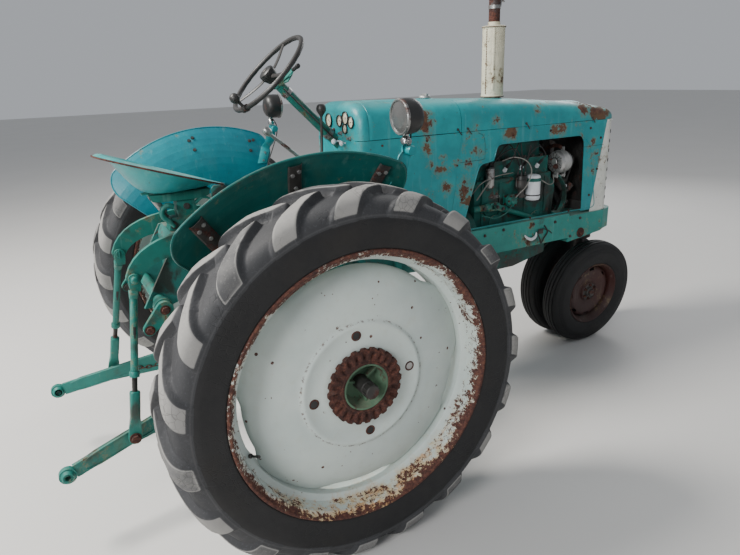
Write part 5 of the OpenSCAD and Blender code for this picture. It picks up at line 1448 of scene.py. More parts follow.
def front_wheel(w):
    rim = Shape()
    outer = mm(204.5, 50, 206, 55.6, 205.6, 60.6, 202.5, 62.5, 199, 60.5, 196, 54, 190, 48, 188, 42,
               180, 30, 179, 20)
    back = mm(184, 25, 185, 33, 193, 42, 194.8, 47)
    rim.ring(outer + other_half(outer) + other_half(back) + back, w.centre, w.axis, 96)
    rim.piece(f"front_rim_{w.side}", "wheel_red", w.body, angle=30)
    lines = mm(56, 23.5, 60, 22.5, 64, 13, 70, 10.8, 80, 11.2, 95, 15, 112, 18.5, 130, 20.5, 142, 20.6,
               148, 19.8, 154, 18.5, 160, 16, 166, 12, 173, 4, 177.6, -8, 179.2, -22)
    columns = 96
    rows = [[w.at(r, 360 * k / columns, t) for k in range(columns)] for r, t in lines]

    def slot(i, j):
        # Eight slots between the dished face and the rim
        return .146 < lines[i][0] < .165 and (j + 2) % 12 < 4
    disc = Shape().sheet(rows, -.005, skip=slot, wrap=True)
    disc.group(f"front_disc_{w.side}", "wheel_red", w.body, angle=40, replaces=f"front_wheel_{w.side}")
    hub = Shape().spun(mm(0, 56, 14, 55.6, 21.5, 53, 24.5, 48, 25.2, 40, 30, 38.5, 33, 36, 34.5, 30, 36, 26.2,
                          60, 25.5, 61.2, 23.6, 61.2, 13, 56, 10, 56, -30, 36, -36, 21, -36), w.centre,
                       w.axis, 56)
    hub.piece(f"front_hub_{w.side}", "iron", w.body, angle=30)
    bolts(f"front_hub_bolts_{w.side}", facing(w.axis, [w.at(.0485, deg, .0262) for deg in range(30, 390, 60)]),
          "rust", w.body, radius=.0078, height=.0085)
    stem = Shape().tube([w.at(.170, 250, -.002), w.at(.172, 250, .022), w.at(.166, 250, .040)],
                        [.0042, .0038, .0030], 10)
    stem.piece(f"front_valve_{w.side}", "hose", w.body)


def rear_valve(side):
    sign = SIDES[side]
    c = round_y((0, sign * (REAR_Y + .056), REAR_Z), .4535, 200)
    out = round_y((0, sign * .8, 0), -.55, 200).normalized()
    s = Shape().spun(mm(0, -4, 8.5, -2, 8.5, 4, 4.5, 6, 4.5, 30, 5.6, 31, 5.6, 40, 0, 41), c, out, 16)
    s.piece(f"rear_valve_{side}", "iron", f"rear_wheel_{side}")


# ---------------------------------------------------------------- engine bay

BLOCK_Y = .140
PULLEY_X = 1.836
FAN_C = Vector((1.880, 0, 1.150))


def alternator():
    """Ribbed alternator with its vented end and brace, and the pulleys that its belt turns on."""
    c, axis = Vector((1.745, -.160, 1.236)), X
    body = Shape()
    profile = mm(0, -6, 20, -6, 22, -4, 22, 0, 50, 0, 58, 3, 61.5, 10, 62, 22)
    for k in range(5):
        x = .026 + .008 * k
        profile += [(.0625, x), (.0655, x + .0012), (.0655, x + .0042), (.0625, x + .0054)]
    profile += mm(60, 68, 59, 80, 50, 86, 0, 87)
    body.spun(profile, c, axis, 72)
    body.piece("alternator_body", "aluminium", angle=30, replaces="alternator")
    vents = Shape()
    # Dark dots and dimples on the vented end: painted shade for the vent openings
    for k in range(12):
        for r in (.030, .036, .042, .048):
            vents.ball(round_x(c - .0005 * X, r, 30 * k + math.degrees(6 * r)), .0024, 5, 8)
    for k in range(6):
        vents.spun(mm(0, 2.2, 3.6, 1.8, 4.2, 0, 0, 0), round_x(c + .0005 * X, .054, 60 * k + 30), -X, 10)
    vents.ring(mm(22, 3, 26, 4, 27.5, 1, 27.5, -2, 22, -2), c, -X, 28)
    vents.group("alternator_vents", "hose")
    tip = Shape().spun(mm(0, 20, 9, 19, 10, 12, 14, 10, 15, 0, 0, 0), (1.743, -.178, 1.214), -X, 16)
    tip.spun(mm(0, 14, 4, 13, 4.5, 0, 0, 0), (1.743, -.142, 1.252), -X, 10)
    tip.group("alternator_posts", "rust")
    ears = Shape()
    for x in (1.758, 1.815):
        ears.prism(mm(-16, -50, 16, -50, 12, -92, -12, -92), ((x, c.y, c.z), Y, Z), .009)
    ears.prism(mm(-12, 55, 12, 55, 10, 85, -10, 85), ((1.800, c.y, c.z), Y, Z), .009)
    ears.tube([(1.745, -.160, 1.154), (1.835, -.160, 1.154)], .006, 10)
    ears.group("alternator_ears", "aluminium", bevel=.001)
    brace = curve_points([(1.803, -.158, 1.318), (1.802, -.10, 1.322), (1.800, -.04, 1.300),
                          (1.798, .0, 1.262)], 5)
    rows = [[(p.x, p.y, p.z + u) for u in (-.011, 0, .011)] for p in brace]
    Shape().sheet(rows, .004).group("alternator_brace", "rust")
    pulley, at = Shape(), Vector((PULLEY_X, c.y, c.z))
    pulley.ring(mm(10, 0, 40, 0, 42.5, 2, 32.5, 9, 32.5, 12, 42.5, 19, 40, 21, 10, 21), at, axis, 40)
    pulley.spun(mm(0, 26, 9, 26, 10, -4, 0, -4), at, axis, 20)
    for deg in range(0, 360, 40):
        u, v = polar(1, deg)
        pulley.prism(mm(14, -3, 52, -7, 54, 4, 14, 3), (at - .007 * X, (0, u, v), (0, -v, u)), .0022)
    pulley.group("alternator_pulley", "iron")
    other = Shape()
    for z, r in ((.900, .082), (1.150, .066)):
        other.ring([(.012, .0), (r - .001, .0), (r + .002, .002), (r - .008, .009), (r - .008, .012),
                    (r + .002, .019), (r - .001, .021), (.012, .021)], (PULLEY_X, 0, z), axis, 56)
    other.group("engine_pulleys", "iron")
    fan_belt([(c.y, c.z, .0385), (0.0, 1.150, .0640), (0.0, .900, .0800)])


def fan_belt(wheels):
    """The belt around three pulleys, each (y, z, radius); a run leaves a pulley where its tangent touches."""
    def leave(ay, az, ar, by, bz, br):
        return math.atan2(bz - az, by - ay) + math.acos((ar - br) / math.hypot(by - ay, bz - az))
    loop = []
    for i, (y, z, r) in enumerate(wheels):
        a0, a1 = leave(*wheels[i - 1], y, z, r), leave(y, z, r, *wheels[(i + 1) % 3])
        while a1 > a0:
            a1 -= 2 * math.pi
        if a0 - a1 > 2 * math.pi:
            a1 += 2 * math.pi
        loop += [Vector((0, y + r * math.cos(a), z + r * math.sin(a))) for a in np.linspace(a0, a1, 15)]
    n = len(loop)
    middle = sum(loop, Vector()) / n
    verts = []
    for k, p in enumerate(loop):
        along = (loop[(k + 1) % n] - loop[k - 1]).normalized()
        out = Vector((0, along.z, -along.y))
        if out.dot(p - middle) < 0:
            out = -out
        verts += [p + (PULLEY_X + .0105 + u) * X + v * out for u, v in ((-.0035, -.004), (-.0055, .004),
                  (.0055, .004), (.0035, -.004))]
    Shape().add(verts, quads(n, 4)).piece("fan_belt", "hose", angle=30)


def fan_blades():
    """Pressed blades with a twist, and the hub that carries them."""
    s = Shape()
    for deg in range(0, 360, 60):
        out, side = round_x((0, 0, 0), 1, deg + 90), round_x((0, 0, 0), 1, deg)
        rows = []
        for r in np.linspace(.020, .186, 10):
            wide = .020 + .016 * smoothstep(.03, .09, r)
            twist = math.radians(38 - 90 * (r - .02) * 1.2)
            rows.append([FAN_C + out * r + (side * math.cos(twist) + X * math.sin(twist)) * u
                         for u in np.linspace(-wide, wide, 7)])
        s.sheet(rows, .0025)
    s.group("fan_blades", "iron", angle=40, replaces="fan")
    hub = Shape().spun(mm(0, 20, 16, 19, 30, 12, 32, -4, 22, -10, 22, -58, 0, -60), FAN_C, X, 40)
    hub.ring(mm(12, 0, 60, 0, 62, 2, 62, 6, 12, 6), FAN_C - .012 * X, X, 40)
    hub.spun(mm(0, 0, 30, 0, 30, 50, 0, 50), FAN_C - .094 * X, X, 32)
    hub.group("fan_hub", "casting")


def radiator_core():
    """Core with vertical tubes and fine fins, crimped tanks, cap and hoses."""
    x0, x1 = 1.960, 2.020
    fins = Shape()
    for y in np.linspace(-.186, .186, 38):
        for x in (x0 + .004, x1 - .004):
            fins.tube([(x, y, .990), (x, y, 1.372)], .0028, 6)
    fins.group("radiator_tubes", "iron")
    plates = Shape()
    for z in np.linspace(.996, 1.368, 46):
        plates.block((x0 - .0005, -.190, z), (x1 + .0005, .190, z + .0012))
    plates.group("radiator_fins", "hose", smooth=False)
    tanks = Shape()
    for low, high in ((.928, .986), (1.374, 1.430)):
        tanks.block((x0 - .010, -.205, low), (x1 + .010, .205, high))
    for low in (.984, 1.3695):
        tanks.block((x0 - .015, -.209, low), (x1 + .015, .209, low + .005))
    for y in (-.198, .190):
        tanks.block((x0 - .002, y, .986), (x1 + .002, y + .008, 1.374))
    tanks.spun(mm(34, 0, 34, 30, 40, 32, 41, 44, 36, 48, 0, 49), (1.990, 0, 1.428), Z, 36)
    tanks.group("radiator_tanks", "iron", bevel=.004, replaces="radiator")
    hoses = Shape().hose([(1.958, .060, 1.395), (1.90, .060, 1.398), (1.84, .050, 1.380), (1.80, .030, 1.340),
                          (1.77, .020, 1.300)], .0235, 20)
    hoses.hose([(1.958, -.060, .965), (1.90, -.066, .968), (1.86, -.075, 1.00), (1.82, -.078, 1.05),
                (1.785, -.076, 1.075)], .0235, 20)
    hoses.group("radiator_hoses", "hose")
    rings = Shape()
    for c, way in (((1.945, .060, 1.3955), X), ((1.778, .024, 1.312), (.55, .2, .8)),
                   ((1.945, -.060, .9655), X), ((1.797, -.0775, 1.068), (-.7, .1, .5))):
        rings.ring(mm(23.2, -6, 25.6, -6, 25.6, 6, 23.2, 6), c, way, 28)
    rings.group("hose_clamps", "steel")
    neck = Shape().spun(mm(0, 34, 28, 34, 28, 26, 22, 22, 22, 0, 50, -4, 54, -14, 0, -14), (1.762, .018, 1.280),
                        (.35, .1, .9), 32)
    neck.piece("water_outlet", "engine")


def oil_filter():
    c = (1.560, -.186, 1.052)
    can = Shape().spun(mm(0, 135.5, 26, 135.5, 34, 133, 40, 127.5, 41.5, 124, 42, 118, 42, 12, 42.8, 10.5,
                          42.8, 6.5, 41.5, 5, 40, -1.5, 37, -5, 0, -6), c, Z, 56)
    can.piece("filter_can", "white", angle=30, replaces="oil_filter")
    trim = Shape().ring(mm(42.4, 20, 43.6, 20, 43.6, 26, 42.4, 26), c, Z, 56)
    trim.spun(mm(0, -18.5, 12, -18, 20, -15, 34, -12, 38.5, -9.5, 38.5, -5, 0, -5), c, Z, 48)
    trim.group("filter_ring", "iron")
    Shape().ball((1.556, -.2265, 1.075), .0075, 6, 10, squash=.5).piece("filter_chip", "iron")
    base = Shape().block((1.526, -.186, 1.150), (1.594, -.1403, 1.177))
    base.ring(mm(42.5, 0, 46.5, 1, 46.5, 18, 42.5, 20), (1.560, -.186, 1.152), Z, 40)
    base.group("filter_base", "engine", bevel=.004)


def distributor():
    """Distributor with its dark cap, and wires that curve over to the plugs."""
    c = Vector((1.478, -.180, 1.066))
    body = Shape().spun(mm(0, 0, 17, 0, 17.5, 30, 19, 45, 30, 56, 32.5, 60, 32.5, 82, 30.5, 86, 30.5, 104,
                           0, 104), c, Z, 40)
    body.prism(mm(-22, -12, 22, -12, 22, 39.5, -22, 39.5), ((c.x, c.y, c.z), X, Y), .016)
    body.group("distributor_body", "iron", bevel=.0012, replaces="distributor")
    cap = Shape().spun(mm(33.5, 100, 33.5, 108, 31.5, 114, 29, 124, 20, 128, 0, 129), c, Z, 40)
    ends = []
    for deg in (45, 135, 225, 315):
        p = c + Vector((*polar(.019, deg), .124))
        cap.spun(mm(6.8, 0, 6.2, 16, 5, 20, 0, 20), p, Z, 16)
        ends.append(p + .020 * Z)
    cap.spun(mm(6.8, 0, 6.2, 18, 5, 22, 0, 22), c + .126 * Z, Z, 16)
    cap.group("distributor_cap", "black")
    clips = Shape()
    for u in (X, -X):
        clips.tube([c + u * r + z * Z for r, z in ((.0335, .064), (.037, .078), (.037, .095), (.0343, .108),
                    (.0305, .113))], .0016, 6)
    clips.group("distributor_clips", "steel")
    plugs, boots, wires = Shape(), Shape(), Shape()
    way = Vector((0, -.72, .69)).normalized()
    for k, (x, lift) in enumerate(((1.275, .145), (1.395, .155), (1.515, .13), (1.635, .12))):
        seat = Vector((x, -.1305, 1.222))
        plugs.spun(mm(14, -4, 14, 4, 11.5, 6, 11.5, 16, 8, 18, 6.2, 22, 5.5, 44, 0, 46), seat, way, 6)
        tip = seat + way * .040
        boots.spun(mm(5.5, -16, 8.2, -14, 8.8, 0, 7.5, 14, 5, 22, 0, 23), tip, way, 16)
        start = ends[(k + 1) % 4]
        top = tip + way * .020
        mid = (start + top) / 2
        path = [start, start + Vector((0, -.004, .040)), mid + Vector((0, -.020 - .006 * k,
                lift - abs(mid.z - 1.20) * .3)), top + Vector((.004, -.018, .030)), top]
        wires.hose(path, .0031, 8, 8)
    centre = c + .146 * Z
    wires.hose([centre, centre + Vector((-.01, -.005, .06)), (1.40, -.200, 1.345), (1.31, -.190, 1.315),
                (1.262, -.176, 1.262)], .0036, 8, 8)
    plugs.group("spark_plugs", "white")
    boots.group("plug_boots", "hose")
    wires.group("plug_wires", "hose")
    coil = Shape().spun(mm(0, -6, 22, -6, 24.5, -2, 24.5, 92, 21.5, 97, 21.5, 101, 0, 101),
                        (1.262, -.168, 1.150), Z, 32)
    coil.piece("ignition_coil", "steel")
    head = Shape().spun(mm(22.5, 0, 21, 10, 11, 16, 8, 32, 0, 33), (1.262, -.168, 1.250), Z, 28)
    head.prism(mm(-10, -30, 30, -30, 30, 30, -10, 30), ((1.262, -.143, 1.195), Y, Z), .004)
    head.group("coil_head", "black")


def fuel_pump():
    c = Vector((1.418, -.1403, 1.056))
    out = -Y
    s = Shape().spun(mm(0, 62, 12, 62, 20, 58, 22.5, 50, 30, 46, 36.5, 44, 37.5, 40, 37.5, 35.5, 35.5, 34.5,
                        35.5, 32.5, 37.5, 31.5, 37.5, 26, 34, 23.5, 25, 18, 24, 0, 0, 0), c, out, 48)
    s.prism(mm(-34, -30, 34, -30, 34, 30, -34, 30), (c + .007 * out, X, Z), -.007)
    s.group("fuel_pump_body", "linkage", bevel=.0015, replaces="fuel_pump")
    places = facing(-Y, [round_y(c + .0455 * out, .030, deg) for deg in range(0, 360, 60)])
    places += facing(-Y, [(c.x + x, c.y - .0085, c.z + z) for x in (-.027, .027) for z in (-.022, .022)])
    bolts("fuel_pump_screws", places, "rust", radius=.0048, height=.0045)
    lines = Shape().hose([c + Vector((.010, -.056, .018)), c + Vector((.020, -.075, .045)), (1.47, -.232, 1.14),
                          (1.50, -.235, 1.215), (1.47, -.225, 1.275), (1.40, -.205, 1.300),
                          (1.33, -.185, 1.285)], .0030, 8, 7)
    lines.hose([(1.735, -.165, 1.165), (1.70, -.205, 1.130), (1.655, -.215, 1.125), (1.612, -.205, 1.150),
                (1.590, -.190, 1.165)], .0030, 8, 7)
    lines.group("pale_lines", "wire")
    copper = Shape().hose([c + Vector((-.012, -.050, -.020)), c + Vector((-.04, -.060, -.05)),
                           (1.33, -.200, .985), (1.27, -.205, .978), (1.20, -.190, 1.000)], .0032, 8, 7)
    copper.hose([(1.655, -.1412, 1.02), (1.66, -.158, 1.03), (1.672, -.160, 1.08), (1.690, -.152, 1.115),
                 (1.70, -.1415, 1.135)], .0030)
    copper.group("engine_pipes", "engine")


def block_details(side):
    """Side covers, ribs and core plugs, the timing flange, and the bolts of all these."""
    sign = SIDES[side]
    y = sign * (BLOCK_Y + .0004)
    s = Shape()

    def plate(outline, thick):
        s.plate(outline, y, -sign * thick)
    plate(disc_points(1.645, .905, .060), .007)
    plate(mm(1190, 1160, 1730, 1160, 1730, 1178, 1190, 1178), .006)
    plate(mm(1190, 790, 1730, 790, 1730, 803, 1190, 803), .010)
    for x in (1.235, 1.36, 1.545, 1.70):
        plate([(x - .006, .803), (x + .006, .803), (x + .010, 1.160), (x - .010, 1.160)], .0055)
    if side == "left":
        plate(mm(1250, 900, 1520, 900, 1520, 1120, 1250, 1120), .010)
        plate(mm(1290, 940, 1480, 940, 1480, 1080, 1290, 1080), .014)
    else:
        plate(mm(1300, 985, 1335, 1020, 1340, 1120, 1300, 1150, 1255, 1150, 1225, 1110, 1225, 1030, 1255, 985),
              .012)
        plate(disc_points(1.330, .930, .050), .010)
    s.group(f"block_ribs_{side}", "engine", bevel=.002)
    plugs = Shape()
    for x in (1.29, 1.47, 1.62):
        plugs.spun(mm(20, 3.5, 21.5, 3, 22, 0, 20, -2, 0, -3), (x, y, .850), sign * Y, 28)
        plugs.spun(mm(0, 1.2, 18.5, 1.8, 20, 3.4), (x, y, .850), sign * Y, 28)
    plugs.group(f"core_plugs_{side}", "rust")
    places = facing(sign * Y, [(x, sign * .1415, .774) for x in np.linspace(1.20, 1.72, 11)])
    places += facing(sign * Y, [(x, sign * .1310, 1.192) for x in np.linspace(1.23, 1.70, 7)])
    places += facing(sign * Y, [round_y((1.645, sign * .1478, .905), .050, deg) for deg in range(0, 360, 60)])
    bolts(f"block_bolts_{side}", places, "engine", radius=.0078, height=.0065)
    curve = arc_points(1.700, 1.030, .155, -52, 62, 18)
    flange = Shape()
    rows = [[(px, sign * (BLOCK_Y + u), pz) for u in (-.004, .004, .018, .026)] for px, pz in curve]
    flange.sheet(rows, .009)
    flange.group(f"timing_flange_{side}", "engine", angle=40)
    bolts(f"timing_bolts_{side}", facing(sign * Y, [(px + .006, sign * (BLOCK_Y + .018), pz)
                                         for px, pz in curve[2::4]]), "iron", radius=.0085, height=.007)


def head_details():
    """The rocker cover's beads, the head's nuts, a breather and the manifold's flanges."""
    s = Shape()
    for y in (-.0855, .0765):
        s.block((1.238, y, 1.2755), (1.682, y + .009, 1.2815))
    for x in (1.30, 1.46, 1.62):
        s.spun(mm(14, 0, 17, 2, 17, 6, 10, 9, 0, 9), (x, 0, 1.3712), Z, 24)
    for y in (-.062, .062):
        s.tube([(1.242, y, 1.366), (1.678, y, 1.366)], .0045, 8)
    s.group("rocker_bead", "engine")
    places = facing(Z, [(x, y, 1.2762) for x in np.linspace(1.235, 1.685, 8) for y in (-.112, .112)])
    places += facing(Z, [(x, 0, 1.3800) for x in (1.30, 1.46, 1.62)])
    bolts("head_nuts", places, "iron", radius=.0095, height=.011)
    breather = Shape().spun(mm(13, 0, 13, 20, 24, 24, 26, 50, 20, 58, 0, 59), (1.53, .012, 1.371), Z, 28)
    breather.piece("rocker_breather", "black")
    flanges = Shape()
    for x in (1.290, 1.400, 1.520, 1.640):
        flanges.plate([(x - .044, 1.236), (x - .020, 1.226), (x + .020, 1.226), (x + .044, 1.236),
                       (x + .044, 1.268), (x + .020, 1.278), (x - .020, 1.278), (x - .044, 1.268)],
                      .1305, -.010)
    flanges.ring(mm(23, -8, 48, -8, 48, 8, 23, 8), (1.400, .178, 1.300), Z, 32)
    for x in (1.2685, 1.6615):
        flanges.spun(mm(0, -3, 22, -3, 27.5, 0, 22, 3, 0, 3), (x, .178, 1.252), X, 28)
    flanges.group("manifold_flanges", "rust", bevel=.0015)
    bolts("manifold_nuts", facing(Y, [(x + d, .1415, 1.252) for x in (1.290, 1.400, 1.520, 1.640)
                                      for d in (-.034, .034)]), "iron", radius=.008, height=.008)


def starter():
    """Starter motor low on the left, and the dipstick."""
    s = Shape().spun(mm(0, 0, 36, 1, 40, 6, 40, 150, 44, 152, 44, 165, 30, 172, 30, 205, 0, 206),
                     (1.36, .186, .880), -X, 44)
    s.piece("starter_motor", "iron", angle=30)
    sol = Shape().spun(mm(0, 0, 20, 1, 22, 6, 22, 85, 18, 90, 0, 91), (1.345, .186, .942), -X, 32)
    sol.block((1.29, .178, .912), (1.32, .194, .930))
    sol.group("starter_switch", "black")
    Shape().hose([(1.60, .150, .98), (1.60, .162, 1.05), (1.602, .160, 1.15), (1.604, .156, 1.20)], .004, 8,
                 5).piece("dipstick", "steel")


def drive_shaft_joint():
    """Steering shaft's tube and its forked joint with clamp bolts."""
    s = Shape()
    y = -.168
    s.spun(mm(0, 0, 17, 0, 17.5, 4, 17.5, 85, 23, 90, 23, 108, 17.5, 112, 17.5, 124, 0, 124),
           (1.148, y, 1.036), X, 32)
    for dz in (-.021, .011):
        s.plate([(1.262, 1.036 + dz), (1.320, 1.036 + dz), (1.326, 1.041 + dz), (1.320, 1.046 + dz),
                 (1.262, 1.046 + dz)], y - .015, -.030)
    s.ball((1.306, y, 1.0345), .0150, 10, 18)
    way = Vector((.496, 0, -.180)).normalized()
    for d in (-.019, .011):
        s.prism(mm(-4, -18, 50, -16, 56, 0, 50, 16, -4, 18, -12, 8, -12, -8),
                ((1.306, y + d, 1.0345), way, (.340, 0, .940)), -.008)
    s.tube([(1.340, y, 1.022), (1.794, y, .858)], [.0145, .0145], 20)
    s.ring(mm(14.5, -10, 20, -8, 20, 8, 14.5, 10), (1.372, y, 1.0105), way, 28)
    s.group("steering_joint", "linkage", angle=30, bevel=.0008, replaces="steering_shaft")
    bolts("steering_joint_bolts", [((1.306, y - .0205, 1.0345), -Y), ((1.345, y - .0205, 1.0205), -Y),
                                   ((1.290, y - .0160, 1.052), Z), ((1.215, y - .018, 1.036), -Y)], "iron",
          radius=.0078, height=.007)
    rods = Shape().hose([(1.145, -.205, 1.095), (1.20, -.200, 1.150), (1.255, -.190, 1.195)], .0034, 10, 5)
    rods.hose([(1.120, -.196, 1.130), (1.19, -.190, 1.180), (1.30, -.180, 1.205), (1.42, -.172, 1.210)],
              .0028, 10, 5)
    rods.group("control_rods", "wire")
    spring = [Vector((1.225 + .0011 * k, -.212 + .008 * math.cos(k * .7), 1.100 + .008 * math.sin(k * .7)))
              for k in range(60)]
    Shape().tube(spring, .0013, 6).piece("return_spring", "steel")


# ---------------------------------------------------------------- lift linkage

TUBE_R = .0155
SHAFT_X, SHAFT_Z = -.230, 1.120
LINK_TOP = Vector((-.619, .223, 1.004))
LINK_LOW = Vector((-.727, .357, .367))
LINK_BACK = Vector((-.020, .150, .515))
LINK_BALL = Vector((-.992, .390, .309))


def mirrored(point, side):
    return Vector((point[0], SIDES[side] * point[1], point[2]))


def lift_arm_ends(side):
    """Bosses and the pin at the end of a lift arm."""
    sign = SIDES[side]
    s = Shape()
    for y, out in ((.2365, sign), (.2095, -sign)):
        s.spun(mm(11.5, 0, 11.5, 3.5, 20, 3.5, 22.5, 1.5, 23, -1), (LINK_TOP.x, sign * y, LINK_TOP.z),
               out * Y, 28)
        s.spun(mm(0, 6, 30, 6, 36, 2, 37, -1), (SHAFT_X, sign * y, SHAFT_Z), out * Y, 36)
    s.group(f"arm_bosses_{side}", "linkage", "lift_shaft", angle=30)
    pin = Shape().ring(mm(0, 10.5, 7, 10, 12.5, 7.5, 15.5, 3, 16, 0, 0, -0.5),
                       (LINK_TOP.x, sign * .2622, LINK_TOP.z), sign * Y, 28)
    pin.ring(mm(11.2, 3, 18.5, 3, 19, 0.4, 11.2, 0), (LINK_TOP.x, sign * .2590, LINK_TOP.z), sign * Y, 28)
    pin.tube([(LINK_TOP.x, sign * .187, z) for z in (1.022, .984)], .0022, 8)
    pin.group(f"arm_pin_{side}", "linkage", "lift_shaft", angle=35)


def lift_link(side):
    """Yoke, slotted upper tube, levelling screw and flattened lower tube between the arm and the lower link."""
    sign = SIDES[side]
    body = f"lift_rod_{side[0]}"
    top, low = mirrored(LINK_TOP, side), mirrored(LINK_LOW, side)
    way = (low - top).normalized()
    across = (Y - way * way.y).normalized()
    ahead = across.cross(way)

    def at(t, u=0.0, v=0.0):
        return top + (low - top) * t + across * u + ahead * v

    def section(t, wide, deep, corner):
        ring = []
        for cu, cv, a in ((1, 1, 0), (-1, 1, 90), (-1, -1, 180), (1, -1, 270)):
            for turn in (0, 30, 60, 90):
                u, v = polar(corner, a + turn)
                ring.append(at(t, cu * (wide - corner) + u, cv * (deep - corner) + v))
        return ring
    yoke = Shape()
    cheek = arc_points(0, 0, .0235, 10, 170, 10) + mm(-22.5, -26, -18, -52, 18, -52, 22.5, -26)
    for cheek_y, boss_y, out in ((.192, .192, -sign), (.244, .254, sign)):
        yoke.prism(cheek, ((top.x, sign * cheek_y, top.z), X, Z), -sign * .010)
        yoke.spun(mm(11.2, 2, 16, 2, 17.5, -1), (top.x, sign * boss_y, top.z), out * Y, 24)
    yoke.loft([section(t, w, d, c) for t, w, d, c in ((.076, .0315, .0155, .006), (.084, .0320, .0165, .007),
               (.094, .0270, .0165, .008), (.104, .0210, .0165, .010), (.118, .0185, .0170, .012),
               (.128, .0165, .0160, .0155))])
    yoke.group(f"link_yoke_{side}", "linkage", body, bevel=.0012, angle=40, replaces=f"lift_link_{side}")
    tubes = Shape().loft([section(t, .0152, .0152, .0150) for t in (.112, .20, .40, .595)])
    tubes.spun(mm(15, -12, 19.5, -12, 20.5, -10, 20.5, 9, 19, 12, 11.2, 12), at(.598), way, 26)
    tubes.loft([section(t, w, d, c) for t, w, d, c in ((.706, .0190, .0190, .0150), (.712, .0212, .0205, .0140),
                (.780, .0212, .0200, .0110), (.870, .0210, .0185, .0060), (.905, .0150, .0215, .0050),
                (.925, .0075, .0245, .0045), (.965, .0060, .0265, .0040), (1.0, .0055, .0270, .0040),
                (1.028, .0055, .0215, .0040), (1.038, .0050, .0120, .0035))])
    tubes.group(f"link_tubes_{side}", "linkage", body, bevel=.0008, angle=35)
    screw = []
    pitch, count = .0032, 24
    for k in range(count):
        a = -.5 * pitch * count + k * pitch
        screw += [(.0096, a), (.0114, a + pitch * .35), (.0114, a + pitch * .6)]
    s = Shape().spun([(0, screw[0][1])] + screw + [(0, screw[-1][1])], at(.658), way, 18)
    s.group(f"link_screw_{side}", "iron", body, angle=25)
    hole = Shape()
    # The slot is a dark patch on the tube, painted shade for its opening; it faces the right of the tractor on
    # both links
    toward = (way * way.y - Y).normalized()
    aside = way.cross(toward)
    rows = []
    for t in np.linspace(.30, .372, 14):
        half = .0050 if t < .345 else .0026
        turns = [k * half / TUBE_R for k in (-1, -.5, 0, .5, 1)]
        rows.append([at(t) + TUBE_R * (math.cos(a) * toward + math.sin(a) * aside) for a in turns])
    hole.sheet(rows, .0012)
    hole.group(f"link_slot_{side}", "hose", body)
    bolts(f"link_low_bolt_{side}", [((low.x, low.y + sign * .0075, low.z), sign * Y)], "rust", body,
          radius=.0175, height=.013)
    nuts = [(low - sign * .0145 * Y, -sign * Y)]
    bolts(f"link_low_nut_{side}", nuts, "iron", body, radius=.0150, height=.010)


def lower_link(side):
    """Forged bar with rolled edges, its rusty ball end, pivot washers and a check chain."""
    sign = SIDES[side]
    body = f"draft_link_{side[0]}"
    back, ball = mirrored(LINK_BACK, side), mirrored(LINK_BALL, side)
    way = (ball - back).normalized()
    up = (Z - way * way.z).normalized()
    out = way.cross(up)
    s = Shape()
    for face in (-1, 1):
        for edge in (-1, 1):
            line = [back + way * t + up * (edge * (.0285 - .010 * smoothstep(.90, .972, t)))
                    + out * (face * .0082) for t in np.linspace(.16, .955, 30)]
            s.tube(line, .0036, 8)
    for face in (-1, 1):
        s.ring(mm(25.5, 0, 26.2, 2.5, 22.5, 4.5, 14, 4.5, 14, 0), ball + face * .0102 * Y, face * Y, 30)
    s.group(f"lower_link_edges_{side}", "linkage", body, angle=40)
    knob = Shape()
    for face in (-1, 1):
        knob.spun(mm(11.3, 25.6, 17, 25.6, 18.2, 24.6, 18.6, 15, 20.5, 14, 20.5, 11), ball, face * Y, 30)
    knob.group(f"ball_sleeve_{side}", "rust", body)
    places = [((back.x, back.y + face * .034, back.z), face * Y) for face in (-1, 1)]
    bolts(f"link_pivot_bolts_{side}", places, "rust", radius=.017, height=.010)
    chain = Shape()
    first = back + way * .62 - out * (sign * .016) - up * .010
    for k in range(9):
        a = first + Vector((.0225 * k, -sign * .0030 * k, -.0050 * k + .0012 * k * k))
        flat = Y if k % 2 else Z
        turns = np.linspace(0, 2 * math.pi, 15)[:-1]
        chain.tube([a + .0150 * math.cos(b) * X + .0080 * math.sin(b) * flat for b in turns], .0026, 6,
                   closed=True)
    chain.group(f"check_chain_{side}", "rust", body)


def cross_shaft_ends():
    """Bolts and nuts of the free cranks, and the seals where the shaft leaves its housing."""
    places = []
    for sign in SIDES.values():
        places += facing(sign * Y, [(-.600, sign * .3285, .806), (-.530, sign * .3300, .880)])
    bolts("crank_bolts", places, "rust", radius=.0150, height=.011)
    bolts("crank_nuts", [((-.600, sign * .3035, .806), -sign * Y) for sign in SIDES.values()], "iron",
          radius=.0150, height=.010)
    s = Shape()
    for sign in SIDES.values():
        s.spun(mm(24, 0, 30, 1, 31, 3, 30, 6, 24.5, 6.2), (-.530, sign * .2530, .880), sign * Y, 30)
    s.group("cross_shaft_seals", "hose")


